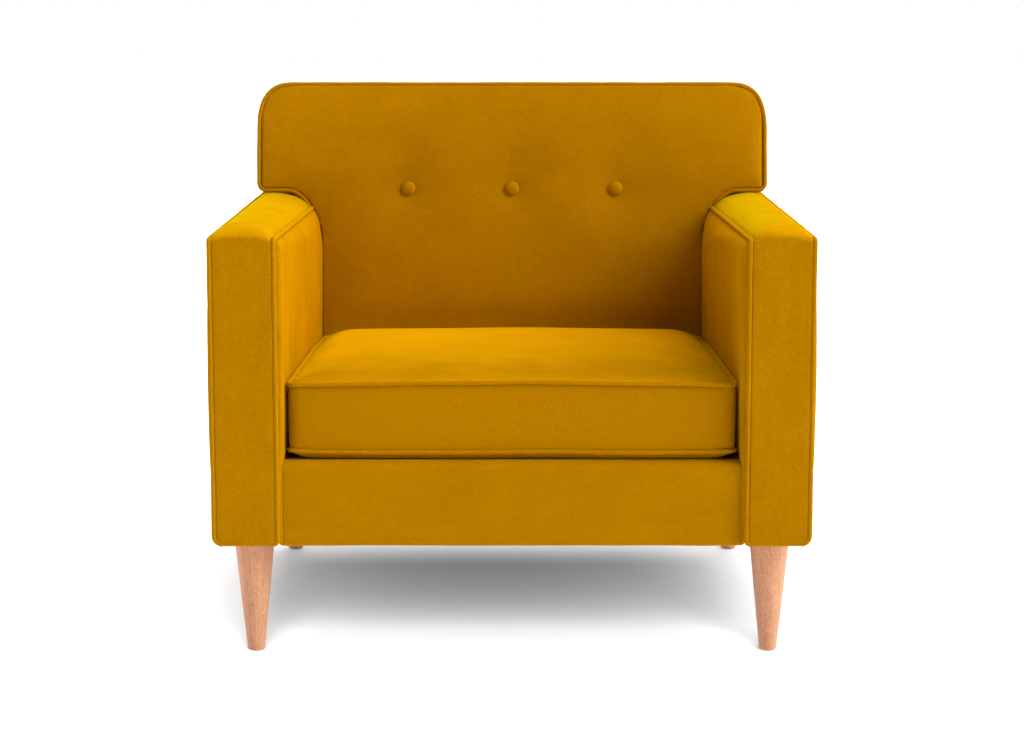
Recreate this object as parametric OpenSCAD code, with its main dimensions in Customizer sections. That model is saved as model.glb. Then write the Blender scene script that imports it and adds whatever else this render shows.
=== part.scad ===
// Upholstered armchair with box arms, a T-shaped back, a loose seat cushion and turned legs.
// The arm fronts face -Y. The origin is on the floor, under the middle of the chair.

/* [Overall] */
// Width over the outer panels of the arms
body_w = 950; // [900:1:1040]
// Height of the back above the floor
body_h = 885; // [860:1:940]
// Depth from the arm fronts to the outside back
body_d = 880; // [860:1:940]
// Height of the arms at their welts
arm_h = 672; // [650:1:685]
// Height of the seat deck that the cushion lies on
deck_h = 318; // [314:1:330]
// Depth of the back at the deck, from its face to the rear of the chair
back_d = 297; // [285:1:320]

/* [Arms] */
// Width of an arm over its two welts
arm_w = 104; // [98:1:116]
// How far the outer panel swells beyond the outer welt
panel_bulge = 7; // [3:0.5:9]
// How far the inner pad swells towards the seat
inner_bulge = 23; // [14:1:25]
// How far the top of an arm is crowned
arm_crown = 16; // [8:1:18]
// Radius of the lower outer corner of an arm
arm_corner_r = 20; // [14:1:22]
// Radius of the lower inner corner of an arm front
arm_inner_corner_r = 10; // [7.5:0.5:14]
// Depth of the inner pad at its edges
inner_pad_t = 11; // [10:0.5:14]
// Depth of the outer panel at its edges
outer_pad_t = 9; // [8:0.5:12]
// Depth of the padding on the arm front
band_t = 12; // [10:0.5:16]
// Length of the stretch behind the arm front where the crown fades in
crown_fade = 50; // [30:1:80]

/* [Welts] */
// Radius of the welts along the arms, the back and the cushion
welt_r = 3.3; // [2.5:0.1:3.5]

/* [Back] */
// Angle of the inside back from the vertical, in degrees
recline = 10.5; // [8:0.5:12]
// Angle of the outside back from the vertical, in degrees
rear_lean = 3; // [2:0.5:4]
// How far the ears of the back stop short of the sides of the chair
ear_inset = 14; // [10:1:30]
// Clearance between the back and the arm that it wraps round
ear_gap = 2; // [1.5:0.1:4]
// Width of the curve that the back makes round an arm
notch_w = 62; // [50:1:66]
// Height of the curve that the back makes round an arm
notch_rise = 112; // [90:1:120]
// Radius of the lower outer corner of an ear
ear_corner_r = 18; // [15:1:24]
// Width of a rounded top corner of the back
top_corner_w = 70; // [50:1:90]
// Height of a rounded top corner of the back
top_corner_rise = 95; // [70:1:110]
// Depth of the padding on the inside back
pad_t = 60; // [50:1:64]
// Depth of the padded boxing round the back
boxing_t = 8; // [6:0.5:9]
// Depth of the outside back panel
outside_t = 6; // [4:0.5:8]

/* [Buttons] */
// Radius of a covered button
button_r = 13.3; // [10:0.1:16]
// Thickness of a covered button
button_t = 8.7; // [8:0.1:10]
// Depth of the dimple that a button sits in
button_pocket = 7; // [6:0.5:9]
// Distance between neighbouring buttons
button_pitch = 187; // [170:1:200]
// Distance of the buttons below the top of the back
button_drop = 191; // [183:1:225]
// Radius of the twine that holds a button
tie_r = 1; // [0.8:0.1:1.5]

/* [Cushion] */
// Clearance between the cushion and an arm at the front
cushion_gap = 8.5; // [7:0.5:18]
// Clearance between the cushion and an arm at the rear
cushion_rear_gap = 4.5; // [4:0.5:12]
// Thickness of the cushion at its welts
cushion_t = 122; // [100:1:130]
// How far the top of the cushion is crowned
cushion_crown = 18; // [4:1:20]
// How far the bottom panel of the cushion hangs below its welt
cushion_sag = 7; // [0:0.5:10]
// How far the cushion front lies behind the arm fronts
cushion_setback = 24; // [20:1:50]
// Radius of the front corners of the cushion
cushion_corner_r = 22; // [15:1:35]
// Radius of the rear corners of the cushion
cushion_rear_corner_r = 15; // [10:1:25]
// Depth of the cover round the foam core
cover_t = 14; // [12:0.5:16]
// Clearance between the cushion and the back
cushion_back_gap = 3; // [2:0.5:6]
// Length of the zip in the rear boxing
zip_l = 560; // [500:1:580]
// Width of the tape of the zip
zip_tape_w = 28; // [24:1:30]
// Thickness of the tape of the zip
zip_tape_t = 0.7; // [0.5:0.1:0.8]
// Width of the chain of the zip
zip_chain_w = 5.5; // [4.5:0.1:6.5]
// Thickness of the chain of the zip
zip_chain_t = 2.2; // [1.8:0.1:2.4]
// Depth of the groove that the zip lies in
zip_groove = 6; // [5.5:0.1:7]
// Length of the slider of the zip
slider_l = 14; // [10:0.5:18]
// Width of the slider of the zip
slider_w = 12; // [9:0.5:14]
// Distance between the closed end of the zip and its slider at rest
slider_rest = 6; // [4:1:10]

/* [Apron] */
// How far the front rail cover lies behind the arm fronts
apron_setback = 10; // [6:1:14]
// Depth of the padding on the front rail
apron_t = 24; // [20:0.5:26]
// Radius of the upper edge of the front rail cover
apron_edge_r = 9; // [6:0.5:12]
// How far the front rail cover ends below the deck
apron_drop = 1.5; // [1:0.5:6]

/* [Legs] */
// Height of the legs
leg_h = 186; // [170:1:200]
// Radius of a leg at its top
leg_top_r = 32.5; // [28:0.5:33]
// Radius of a leg at its foot
leg_foot_r = 13.6; // [11:0.1:18]
// Chamfer at the edge of a foot
foot_chamfer = 3; // [1:0.5:4]
// Distance of the legs' axes from the side of the chair
leg_from_side = 64; // [60:1:66]
// Distance of the front legs' axes from the arm fronts
leg_from_front = 67; // [60:1:72]
// Distance of the rear legs' axes from the rear of the chair
leg_from_rear = 97; // [92:1:110]
// Radius of the hanger bolts
bolt_r = 4; // [3:0.5:5]
// Length of a hanger bolt
bolt_l = 62; // [56:1:70]
// Width of a leg plate
plate_w = 60; // [54:1:64]
// Thickness of a leg plate
plate_t = 2.5; // [2:0.5:3]
// Radius of the nut on a leg plate
nut_r = 7; // [6:0.5:8]
// Height of the nut on a leg plate
nut_h = 12; // [10:1:16]
// Radius of a glide under a foot
glide_r = 9; // [7:0.5:9.5]
// How far a glide stands out below its foot
glide_proud = 1; // [0.5:0.1:2]
// Length of the pin that holds a glide
glide_pin = 12; // [8:1:18]
// Radius of the pin that holds a glide
glide_pin_r = 1.5; // [1:0.1:2]

/* [Frame] */
// Thickness of the frame boards
board_t = 25; // [22:0.5:27]
// Depth of the arm front posts
post_d = 47; // [40:1:50]
// Thickness of the leg blocks
block_t = 30; // [26:1:34]
// Distance of the seat rails' upper edges below the deck
rail_drop = 28; // [26:1:30]
// Thickness of the arm top rails
arm_rail_t = 22; // [18:1:26]
// Thickness of the padding on top of the arm top rails
arm_top_pad = 10; // [9:0.5:14]
// Thickness of the plywood back stiles
stile_t = 22; // [18:0.5:22.5]
// Height of the rails in the back
back_rail_h = 50; // [40:1:55]
// Width of the button rail
button_rail_h = 40; // [30:1:50]
// Distance of the rails in the back below its top
back_rail_drop = 24; // [20:1:34]
// Height of a stile's knee above the seat rails
knee_rise = 160; // [130:1:180]
// Width of a stile at its foot
stile_foot_w = 80; // [70:1:90]
// Distance of a stile's hip below the arm
hip_drop = 60; // [50:1:80]
// Distance of a stile's upper end below the top of the back
stile_drop = 32; // [28:1:45]
// Padding space between a wing block and the boxing beside it
wing_gap = 16; // [14:1:24]
// Share of the back's height above an arm that a wing block takes
wing_share = 0.56; // [0.4:0.01:0.6]
// Depth of a wing block
wing_t = 50; // [40:1:55]
// How far a leg block reaches beyond its leg plate
block_margin = 20; // [12:1:26]
// Leg length of the corner braces
brace_l = 60; // [54:1:64]
// How far the corner braces stop short of the seat rails' upper edges
brace_drop = 10; // [6:1:16]
// Distance of the frame screws from the corners that they join
screw_inset = 18; // [14:1:20]
// Radius of the frame screws
screw_r = 2.5; // [2:0.1:3]
// Radius of the screw heads
screw_head_r = 5; // [4:0.1:6]
// Height of the screw heads
screw_head_h = 4; // [3:0.1:5]
// Length of a frame screw below its head
screw_l = 44; // [42:1:46]
// How far the two rows of screws in a corner are staggered
screw_stagger = 3; // [2:0.5:5]

/* [Suspension] */
// Number of seat springs
spring_count = 5; // [4:1:6]
// Radius of the spring wire
spring_wire_r = 1.9; // [1.5:0.1:2.2]
// Width of a seat spring
spring_w = 50; // [40:1:56]
// Distance of the spring rail from the back's foot
spring_rail_gap = 12; // [10:1:20]
// Length of one wave of a seat spring
spring_pitch = 44; // [36:1:56]
// How far the seat springs arch up
spring_arch = 6; // [2:0.5:8]
// Length of a spring clip
clip_l = 14; // [12:1:18]
// Width of a spring clip
clip_w = 12; // [10:1:14]
// Wall of a spring clip
clip_wall = 1.2; // [1:0.1:1.5]
// Radius of the cords that tie the seat springs
spring_tie_r = 1.5; // [1:0.1:2]
// Clearance between the outer springs and the side rails
spring_side_gap = 30; // [24:1:36]
// Distance of the deck's rear edge from the webbing
deck_rear_gap = 8; // [6:1:12]
// Thickness of the deck pad
deck_pad_t = 14; // [10:0.5:14]
// Thickness of the deck, dust and webbing cloths
cloth_t = 1.2; // [0.8:0.1:1.6]
// Width of a webbing strap
strap_w = 50; // [40:1:60]

/* [Hidden] */

FABRIC = [0.74, 0.49, 0.03];
BEECH = [0.87, 0.64, 0.48];
PINE = [0.80, 0.68, 0.48];
STEEL = [0.62, 0.63, 0.65];
CLOTH = [0.12, 0.12, 0.13];
FOAM = [0.93, 0.90, 0.78];

// Clearance between pieces that are seated on one another
seat_gap = 0.3;
// Radial clearance of a screw, bolt or twine in its hole
hole_gap = 0.05;
// How far a cutting shape runs past what it cuts
over = 1;
// Larger than any size of the chair
far = 2000;

// How far the boxing and the pad lie inside the outer edge of the back
boxing_in = 0.6 * welt_r;
pad_in = boxing_in + boxing_t + seat_gap;

// Half widths, measured from the middle plane
welt_step = 2 * welt_r + seat_gap;
welt_out = body_w / 2 - panel_bulge;
welt_in = welt_out - arm_w;
arm_in = welt_in - inner_bulge;
band_in = welt_in + welt_step;
band_out = welt_out - welt_step;
frame_in = welt_in + inner_pad_t;
frame_out = welt_out - outer_pad_t;
ear_half = body_w / 2 - ear_inset;
stem_half = arm_in - ear_gap;
leg_x = body_w / 2 - leg_from_side;
stile_x = frame_in + 2;
wing_x = stile_x + stile_t + seat_gap;
wing_out = ear_half - boxing_in - boxing_t - wing_gap;
block_out = welt_out - arm_corner_r - over;
cushion_front_half = welt_in - cushion_gap;
cushion_rear_half = arm_in - cushion_rear_gap;
between_frames = frame_in - seat_gap;
between_stiles = stile_x - seat_gap;

// Depths, measured from the arm fronts
seat_depth = body_d - back_d;
apron_rear = apron_setback + apron_t;
front_rail_y = apron_rear + seat_gap;
front_rail_rear = front_rail_y + board_t;
post_y = band_t + seat_gap;
post_rear = post_y + post_d;
side_rail_y = max(post_rear, front_rail_rear) + seat_gap;
leg_rear_y = body_d - leg_from_rear;

// Heights
base_h = leg_h;
block_base = base_h + plate_t + 2 * seat_gap;
block_top = block_base + block_t;
rail_base = block_base;
rail_top = deck_h - rail_drop;
arm_rail_top = arm_h - arm_top_pad;
arm_rail_base = arm_rail_top - arm_rail_t;
ear_h = arm_h + arm_crown + ear_gap;

// The inside back leans back from its foot, and its pieces are laid out along its face
function face_y(z) = seat_depth + (z - deck_h) * tan(recline);
function behind_face(z, t) = face_y(z) + t / cos(recline);
function along(z) = (z - deck_h) / cos(recline);
ear_s = along(ear_h);
top_s = along(body_h);
button_s = along(body_h - button_drop);
wing_s = ear_s + boxing_t + welt_r + 2;
wing_h = wing_share * (top_s - ear_s);
notch_x = stem_half + notch_w;
notch_s = ear_s - notch_rise;
notch_drop = notch_rise * cos(recline);
notch_h = ear_h - notch_drop;
back_foot_s = 2;

// The outside back leans a little, and meets the top boxing at the full depth
rear_top_h = body_h - (body_d - face_y(body_h)) * tan(recline);
rear_foot_y = body_d - (rear_top_h - base_h) * tan(rear_lean);
rear_inner = outside_t + seat_gap;
rear_brace_y = rear_foot_y - rear_inner - board_t - seat_gap;
function rear_y(z) = rear_foot_y + (z - base_h) * tan(rear_lean);

// Layers behind the inside back
strap_front = pad_t + seat_gap;
cross_strap_front = strap_front + cloth_t + seat_gap;
stile_front = cross_strap_front + cloth_t + seat_gap;

// Cushion
cushion_base = deck_h + seat_gap;
cushion_low = cushion_base + cushion_sag;
cushion_top = cushion_base + cushion_t;
function cushion_rear(z) = face_y(z) - cushion_back_gap / cos(recline);
zip_s = cushion_t / 2;
zip_floor = cushion_back_gap + zip_groove - seat_gap;
slider_x = -zip_l / 2 + slider_l + slider_rest;

// Suspension
spring_z = rail_top + spring_wire_r + 1.6;
spring_ledge = 10;
spring_y0 = front_rail_y + spring_ledge;
spring_rail_y = behind_face(rail_top, pad_t) - board_t - spring_rail_gap;
spring_y1 = spring_rail_y + board_t - spring_ledge;
spring_reach = between_frames - spring_w / 2 - spring_side_gap;
function spring_x(k) = -spring_reach + 2 * spring_reach * k / (spring_count - 1);
function tie_z(u) = spring_z + spring_arch * sin(180 * u) - spring_wire_r - spring_tie_r - seat_gap;
deck_rear = behind_face(deck_h, pad_t) - deck_rear_gap;
deck_pad_base = deck_h - cloth_t - seat_gap - deck_pad_t;

function arc(cx, cy, rx, ry, from, to, steps, power = 1) = [
    for (k = [0:steps])
        let (a = from + (to - from) * k / steps, c = cos(a), s = sin(a))
            [cx + rx * sign(c) * pow(abs(c), power), cy + ry * sign(s) * pow(abs(s), power)]
];
function mirrored(half) = [for (k = [len(half) - 1:-1:0]) [-half[k][0], half[k][1]]];
function unit(v) = v / norm(v);

// Upper corner of the back, fuller than an ellipse, drawn in by d
function top_corner(d) = arc(
    ear_half - top_corner_w, top_s - top_corner_rise,
    top_corner_w - d, top_corner_rise - d, 0, 90, 12, 0.72
);
// Right half of the T-shaped inside back, drawn in by d
function t_half(d) = concat(
    [[stem_half - d, back_foot_s]],
    arc(notch_x, notch_s, notch_w + d, notch_rise + d, 180, 90, 10),
    arc(ear_half - ear_corner_r, ear_s + ear_corner_r, ear_corner_r - d, ear_corner_r - d, -90, 0, 5),
    top_corner(d)
);
function t_outline(d) = concat(t_half(d), mirrored(t_half(d)));
// What the back leaves free round the arms, seen from the front and drawn in by d
function above_arms(d) = let (half = concat(
    [[stem_half - d, 0], [stem_half - d, notch_h]],
    arc(notch_x, notch_h, notch_w + d, notch_drop + d, 180, 90, 10),
    arc(ear_half - ear_corner_r, ear_h + ear_corner_r, ear_corner_r - d, ear_corner_r - d, -90, 0, 5),
    [[ear_half - d, far / 2]]
)) concat(half, mirrored(half));
// Outline of the outside back, which also covers the rear ends of the arms
function full_outline(d) = let (half = concat([[ear_half - d, -far / 4]], top_corner(d)))
    concat(half, mirrored(half));
// Plan of the cushion up to the depth y, drawn in by d
function cushion_side(y) = cushion_front_half + (cushion_rear_half - cushion_front_half) * y / seat_depth;
function cushion_half(d, y) = let (
    r0 = cushion_corner_r, y0 = cushion_setback + r0,
    r1 = cushion_rear_corner_r, y1 = y - r1
) concat(
    arc(cushion_side(y0) - r0, y0, r0 - d, r0 - d, -90, 0, 6),
    arc(cushion_side(y1) - r1, y1, r1 - d, r1 - d, 0, 90, 4)
);
function cushion_plan(d, y) = concat(cushion_half(d, y), mirrored(cushion_half(d, y)));

module place() translate([0, -body_d / 2, 0]) children();

// Lays children out on the inside back: x across, y up along its face, z out towards the seat
module on_face() translate([0, seat_depth, deck_h]) rotate([90 - recline, 0, 0]) children();

// Lays children out on the outside back: x across, y out to the rear, z up along it
module on_rear() translate([0, rear_foot_y, base_h]) rotate([-rear_lean, 0, 0]) children();

// Everything in front of the plane that lies t behind the face of the inside back
module ahead_of_face(t) on_face() translate([-far / 2, -far / 2, -t]) cube(far);

// Everything behind the plane that lies t behind the face of the inside back
module back_of_face(t) on_face() translate([-far / 2, -far / 2, -far - t]) cube(far);

// Everything in front of the outside back panel
module ahead_of_rear() on_rear() translate([-far / 2, -far - rear_inner, -far / 2]) cube(far);

module box(x0, x1, y0, y1, z0, z1) translate([x0, y0, z0]) cube([x1 - x0, y1 - y0, z1 - z0]);

// Extrudes an outline of x and z along y
module along_y(y0, y1, outline)
    translate([0, y1, 0]) rotate([90, 0, 0]) linear_extrude(y1 - y0) polygon(outline);

// Extrudes an outline of y and z along x
module along_x(x0, x1, outline)
    translate([x0, 0, 0]) rotate([90, 0, 90]) linear_extrude(x1 - x0) polygon(outline);

// Puts right-hand children on one side of the chair: 1 is right, -1 is left
module on_side(side) place() mirror([side < 0 ? 1 : 0, 0, 0]) children();

// Round bar along points. Up is the direction across its plane.
module bar(points, r, up, closed = false, sides = 8) {
    n = len(points);
    function before(i) = closed ? points[(i + n - 1) % n] : points[max(i - 1, 0)];
    function after(i) = closed ? points[(i + 1) % n] : points[min(i + 1, n - 1)];
    rings = [
        for (i = [0:n - 1])
            let (out = unit(cross(unit(after(i) - before(i)), up)))
                for (k = [0:sides - 1])
                    let (a = 360 * (k + 0.5) / sides)
                        points[i] + r * (cos(a) * out + sin(a) * up)
    ];
    walls = [
        for (i = [0:(closed ? n : n - 1) - 1])
            for (k = [0:sides - 1])
                let (a = i * sides, b = ((i + 1) % n) * sides, m = (k + 1) % sides)
                    [a + k, a + m, b + m, b + k]
    ];
    ends = closed ? [] : [
        [for (k = [sides - 1:-1:0]) k],
        [for (k = [0:sides - 1]) (n - 1) * sides + k]
    ];
    polyhedron(rings, concat(walls, ends), convexity = 10);
}

// Places children at each frame screw: the shank runs along -z from its head
module each_screw() {
    low = rail_base + (rail_top - rail_base) / 4;
    high = block_top + (rail_top - block_top) / 2;
    reach = screw_inset + screw_stagger;
    for (side = [-1, 1]) {
        for (front = [true, false]) {
            corner_y = front ? side_rail_y : rear_brace_y;
            turn = front ? 1 : -1;
            translate([side * (between_frames - reach), corner_y + turn * screw_inset, high])
                rotate([0, -side * 90, 0]) children();
            translate([side * (between_frames - screw_inset), corner_y + turn * reach, low])
                rotate([-turn * 90, 0, 0]) children();
        }
        for (step = [-1, 1]) {
            place_wing_screw(side, step) children();
            translate([
                side * ((frame_in + frame_out) / 2 + step * (frame_out - frame_in) / 5),
                post_y + post_d / 2, arm_rail_top - screw_head_h
            ]) children();
        }
    }
}

module place_wing_screw(side, step) on_face() translate([
    side * (wing_out - screw_head_h), wing_s + (0.5 + 0.3 * step) * wing_h, -stile_front - wing_t / 2
]) rotate([0, side * 90, 0]) children();

module screw() {
    cylinder(h = screw_head_h, r = screw_head_r, $fn = 24);
    translate([0, 0, -screw_l]) cylinder(h = screw_l, r = screw_r, $fn = 24);
}

// The holes that the frame screws need, with their heads' seats open behind them
module screw_holes() each_screw() {
    cylinder(h = screw_l, r = screw_head_r + hole_gap, $fn = 24);
    translate([0, 0, -screw_l - hole_gap])
        cylinder(h = screw_l + 2 * hole_gap, r = screw_r + hole_gap, $fn = 24);
}

// Side view of a plywood stile, drawn out by g
module stile_shape(g) {
    knee_h = rail_top + knee_rise;
    hip_h = arm_h - hip_drop;
    top_front = body_h - stile_drop;
    top_rear = rear_top_h - stile_drop;
    front = [for (z = [rail_top + seat_gap - g, top_front + g]) [behind_face(z, stile_front - g), z]];
    rear = [
        [rear_y(top_rear) - rear_inner - seat_gap + g, top_rear + g],
        [rear_y(hip_h) - rear_inner - seat_gap + g, hip_h],
        [behind_face(knee_h, stile_front) + stile_foot_w + g, knee_h],
        [behind_face(rail_top, stile_front) + stile_foot_w + g, rail_top + seat_gap - g]
    ];
    along_x(stile_x - g, stile_x + stile_t + g, concat(front, rear));
}

module front_rail() color(PINE) place() difference() {
    box(-between_frames, between_frames, front_rail_y, front_rail_rear, rail_base, rail_top);
    screw_holes();
}

module spring_rail() color(PINE) place()
    box(-between_frames, between_frames, spring_rail_y, spring_rail_y + board_t, rail_base, rail_top);

module rear_rail() color(PINE) place() difference() {
    box(-between_frames, between_frames, rear_brace_y + seat_gap, rear_foot_y - rear_inner,
        rail_base, rail_top);
    screw_holes();
}

module side_rail(side) color(PINE) difference() {
    on_side(side) intersection() {
        box(frame_in, frame_in + board_t, side_rail_y, far, block_top + seat_gap, rail_top);
        ahead_of_rear();
    }
    place() screw_holes();
}
module left_side_rail() side_rail(-1);
module right_side_rail() side_rail(1);

module each_leg()
    for (side = [-1, 1], y = [leg_from_front, leg_rear_y])
        place() translate([side * leg_x, y, 0]) children();

module leg_blocks() color(PINE) difference() {
    reach = plate_w / 2 + block_margin;
    for (side = [-1, 1])
        on_side(side) intersection() {
            union() {
                box(frame_in, block_out, post_y, leg_from_front + reach, block_base, block_top);
                box(frame_in, block_out, leg_rear_y - reach, far, block_base, block_top);
            }
            ahead_of_rear();
        }
    each_leg() {
        translate([0, 0, block_base - over]) cylinder(h = nut_h + 1 + over, r = nut_r + 0.5, $fn = 32);
        translate([0, 0, block_base - over]) cylinder(h = block_t + 2 * over, r = bolt_r + 0.5, $fn = 32);
    }
}

module brace(turn) {
    translate([between_frames, 0, rail_base]) linear_extrude(rail_top - rail_base - brace_drop)
        polygon([[-seat_gap, turn * seat_gap], [-brace_l, turn * seat_gap], [-seat_gap, turn * brace_l]]);
}

module corner_braces() color(PINE) difference() {
    for (side = [-1, 1])
        on_side(side) {
            translate([0, side_rail_y, 0]) brace(1);
            translate([0, rear_brace_y, 0]) brace(-1);
        }
    place() screw_holes();
}

module arm_front_post(side) color(PINE) difference() {
    on_side(side)
        box(frame_in, frame_out, post_y, post_rear, block_top + seat_gap, arm_rail_base - seat_gap);
    place() screw_holes();
}
module left_arm_front_post() arm_front_post(-1);
module right_arm_front_post() arm_front_post(1);

module arm_rear_post(side) color(PINE) on_side(side) on_rear()
    box(max(wing_x, frame_in + board_t + seat_gap), frame_out, -rear_inner - board_t, -rear_inner,
        block_top + 2 - base_h, arm_rail_top - 2 - base_h);
module left_arm_rear_post() arm_rear_post(-1);
module right_arm_rear_post() arm_rear_post(1);

module arm_top_rail(side) color(PINE) difference() {
    on_side(side) box(
        frame_in, frame_out, post_y, behind_face(arm_rail_base, stile_front) - seat_gap,
        arm_rail_base, arm_rail_top
    );
    place() screw_holes();
}
module left_arm_top_rail() arm_top_rail(-1);
module right_arm_top_rail() arm_top_rail(1);

module back_stile(side) color(PINE) difference() {
    on_side(side) stile_shape(0);
    place() screw_holes();
}
module left_back_stile() back_stile(-1);
module right_back_stile() back_stile(1);

// Board between the stiles, from s up to s + h along the face, t behind it
module back_board(s, h, t, thick) place() on_face()
    box(-between_stiles, between_stiles, s, s + h, -t - thick, -t);

module back_top_rail() color(PINE)
    back_board(top_s - back_rail_h - back_rail_drop, back_rail_h, cross_strap_front, board_t);
module back_lower_rail() color(PINE)
    back_board(back_foot_s, back_rail_h, cross_strap_front, board_t);
module button_rail() color(PINE)
    back_board(button_s - button_rail_h / 2, button_rail_h, stile_front, board_t);
module rear_top_rail() color(PINE) place() on_rear() {
    top = rear_top_h - base_h - stile_drop;
    box(-between_stiles, between_stiles, -rear_inner - board_t, -rear_inner, top - back_rail_h, top);
}

module wing_block(side) color(PINE) difference() {
    on_side(side) intersection() {
        on_face() box(wing_x, wing_out, 0, wing_s + wing_h, -stile_front - wing_t, -stile_front);
        translate([0, 0, ear_h + boxing_in + boxing_t + seat_gap]) cube(far);
    }
    place() screw_holes();
}
module left_wing_block() wing_block(-1);
module right_wing_block() wing_block(1);

module frame_screws() color(STEEL) place() each_screw() screw();

// One sinuous spring: a flat wave that arches up between its two clips
module spring() {
    waves = round((spring_y1 - spring_y0) / spring_pitch);
    steps = 6 * waves;
    bar([
        for (k = [0:steps])
            let (u = k / steps, ease = min(1, max(0, 10 * min(u, 1 - u) - 0.25)))
                [
                    ease * spring_w / 2 * sin(360 * waves * u),
                    spring_y0 + (spring_y1 - spring_y0) * u,
                    spring_z + spring_arch * sin(180 * u)
                ]
    ], spring_wire_r, [0, 0, 1], sides = 6);
}

module seat_springs() color(STEEL) place()
    for (k = [0:spring_count - 1]) translate([spring_x(k), 0, 0]) spring();

// Steel clip with a channel that the end of a spring lies in
module clip() difference() {
    height = 2 * spring_wire_r + clip_wall + 2;
    translate([-clip_w / 2, -clip_l / 2, 0]) cube([clip_w, clip_l, height]);
    translate([-spring_wire_r - clip_wall, -clip_l / 2 - over, clip_wall])
        cube([2 * (spring_wire_r + clip_wall), clip_l + 2 * over, 2 * spring_wire_r + 0.8]);
}

module spring_clips() color(STEEL) place()
    for (k = [0:spring_count - 1], y = [spring_y0 + 1, spring_y1 - 1])
        translate([spring_x(k), y, rail_top]) clip();

module spring_ties() color(STEEL) place()
    for (u = [1 / 3, 2 / 3])
        translate([-between_frames, spring_y0 + (spring_y1 - spring_y0) * u, tie_z(u)])
            rotate([0, 90, 0]) cylinder(h = 2 * between_frames, r = spring_tie_r, $fn = 16);

module back_webbing() color(CLOTH) place() on_face() {
    low = back_foot_s + 10;
    high = top_s - back_rail_drop - 10;
    for (k = [-1.5:1:1.5])
        box(k * button_pitch - strap_w / 2, k * button_pitch + strap_w / 2, low, high,
            -strap_front - cloth_t, -strap_front);
    for (u = [0.3, 0.55])
        box(-stile_x - stile_t, stile_x + stile_t, u * ear_s - strap_w / 2, u * ear_s + strap_w / 2,
            -cross_strap_front - cloth_t, -cross_strap_front);
}

module deck_pad() color(FOAM) place()
    box(-between_frames, between_frames, front_rail_y, deck_rear,
        deck_pad_base, deck_pad_base + deck_pad_t);

module deck_cloth() color(FABRIC) place()
    box(-between_frames, between_frames, front_rail_y, deck_rear,
        deck_h - cloth_t, deck_h);

// Profile of the inner face of an arm, up to the height of the inner welt
function inner_profile() = let (
    rx = notch_w - ear_gap,
    rz = notch_drop - ear_gap,
    top = arm_h - welt_step,
    stop = asin((top - notch_h) / rz)
) concat(
    [[between_frames, deck_h + seat_gap], [arm_in, deck_h + seat_gap]],
    arc(notch_x, notch_h, rx, rz, 180, 180 - stop, 8),
    [[band_in - seat_gap, top], [band_in - seat_gap, arm_rail_top], [between_frames, arm_rail_top]]
);

module arm_inner_pad(side) color(FABRIC) on_side(side) intersection() {
    union() {
        along_y(0, far, inner_profile());
        box(welt_in, between_frames, 0, apron_rear, base_h, arm_rail_top);
    }
    linear_extrude(far) polygon([
        [welt_in, welt_step], [band_in - seat_gap, welt_step], [band_in - seat_gap, post_y],
        [between_frames, post_y], [between_frames, far / 2],
        [arm_in, far / 2], [arm_in, seat_depth], [welt_in, apron_rear + seat_gap]
    ]);
    union() {
        ahead_of_face(pad_t);
        box(0, far, -far, front_rail_y, 0, far);
    }
}
module left_arm_inner_pad() arm_inner_pad(-1);
module right_arm_inner_pad() arm_inner_pad(1);

module arm_outer_panel(side) color(FABRIC) on_side(side) difference() {
    outer_panel_slab();
    box(0, band_out + seat_gap, 0, post_y, 0, far);
}
module left_arm_outer_panel() arm_outer_panel(-1);
module right_arm_outer_panel() arm_outer_panel(1);

module outer_panel_slab() intersection() {
    low = base_h + arm_corner_r;
    top = arm_h - welt_step;
    cx = welt_out - arm_corner_r;
    swell = [
        for (k = [0:12])
            let (u = k / 12) [welt_out + panel_bulge * sin(180 * u), low + (top - low) * u]
    ];
    inner_r = arm_corner_r - outer_pad_t + seat_gap;
    outline = concat(
        swell,
        [
            [band_out + seat_gap, top], [band_out + seat_gap, arm_rail_top],
            [frame_out + seat_gap, arm_rail_top]
        ],
        arc(cx, low, inner_r, inner_r, 0, -90, 4),
        arc(cx, low, arm_corner_r, arm_corner_r, -90, -15, 5)
    );
    along_y(welt_step, far, outline);
    ahead_of_rear();
}

// Cross-section of the top of an arm, crowned by c
function crown_section(c) = let (
    middle = (band_in + band_out) / 2, half = (band_out - band_in) / 2, edge = arm_h - 2
) concat(
    [[band_in, arm_rail_top + seat_gap], [band_out, arm_rail_top + seat_gap]],
    [
        for (k = [0:14])
            let (u = 1 - k / 7) [middle + u * half, edge + (c + 2) * (1 - pow(abs(u), 3))]
    ]
);

module arm_band(side) color(FABRIC) difference() {
    on_side(side) union() {
        r0 = arm_inner_corner_r - welt_step + seat_gap;
        r1 = arm_corner_r - welt_step;
        low = arm_rail_top + seat_gap;
        along_y(0, band_t, concat(
            [[band_out, low], [band_in, low]],
            arc(band_in + r0, base_h + r0, r0, r0, 180, 270, 4),
            arc(band_out - r1, base_h + r1, r1, r1, -90, 0, 6)
        ));
        hull() {
            along_y(0, over, crown_section(1));
            along_y(crown_fade - over, crown_fade, crown_section(arm_crown));
        }
        intersection() {
            along_y(crown_fade, far, crown_section(arm_crown));
            ahead_of_rear();
        }
    }
    // The fabric is slit and tucked round the stile
    on_side(side) intersection() {
        box(0, wing_x, 0, far, 0, far);
        back_of_face(stile_front - 2 * seat_gap);
    }
}
module left_arm_band() arm_band(-1);
module right_arm_band() arm_band(1);

// Welt along one edge of an arm, at x: up the front, round the corner and back along the top
module arm_welt(x, low, rear) {
    top = arm_h - welt_r;
    bend = welt_r + 0.2;
    bar(concat(
        [[x, welt_r, low]],
        [for (p = arc(welt_r + bend, top - bend, bend, bend, 180, 90, 4)) [x, p[0], p[1]]],
        [[x, rear, top]]
    ), welt_r, [1, 0, 0]);
}

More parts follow.
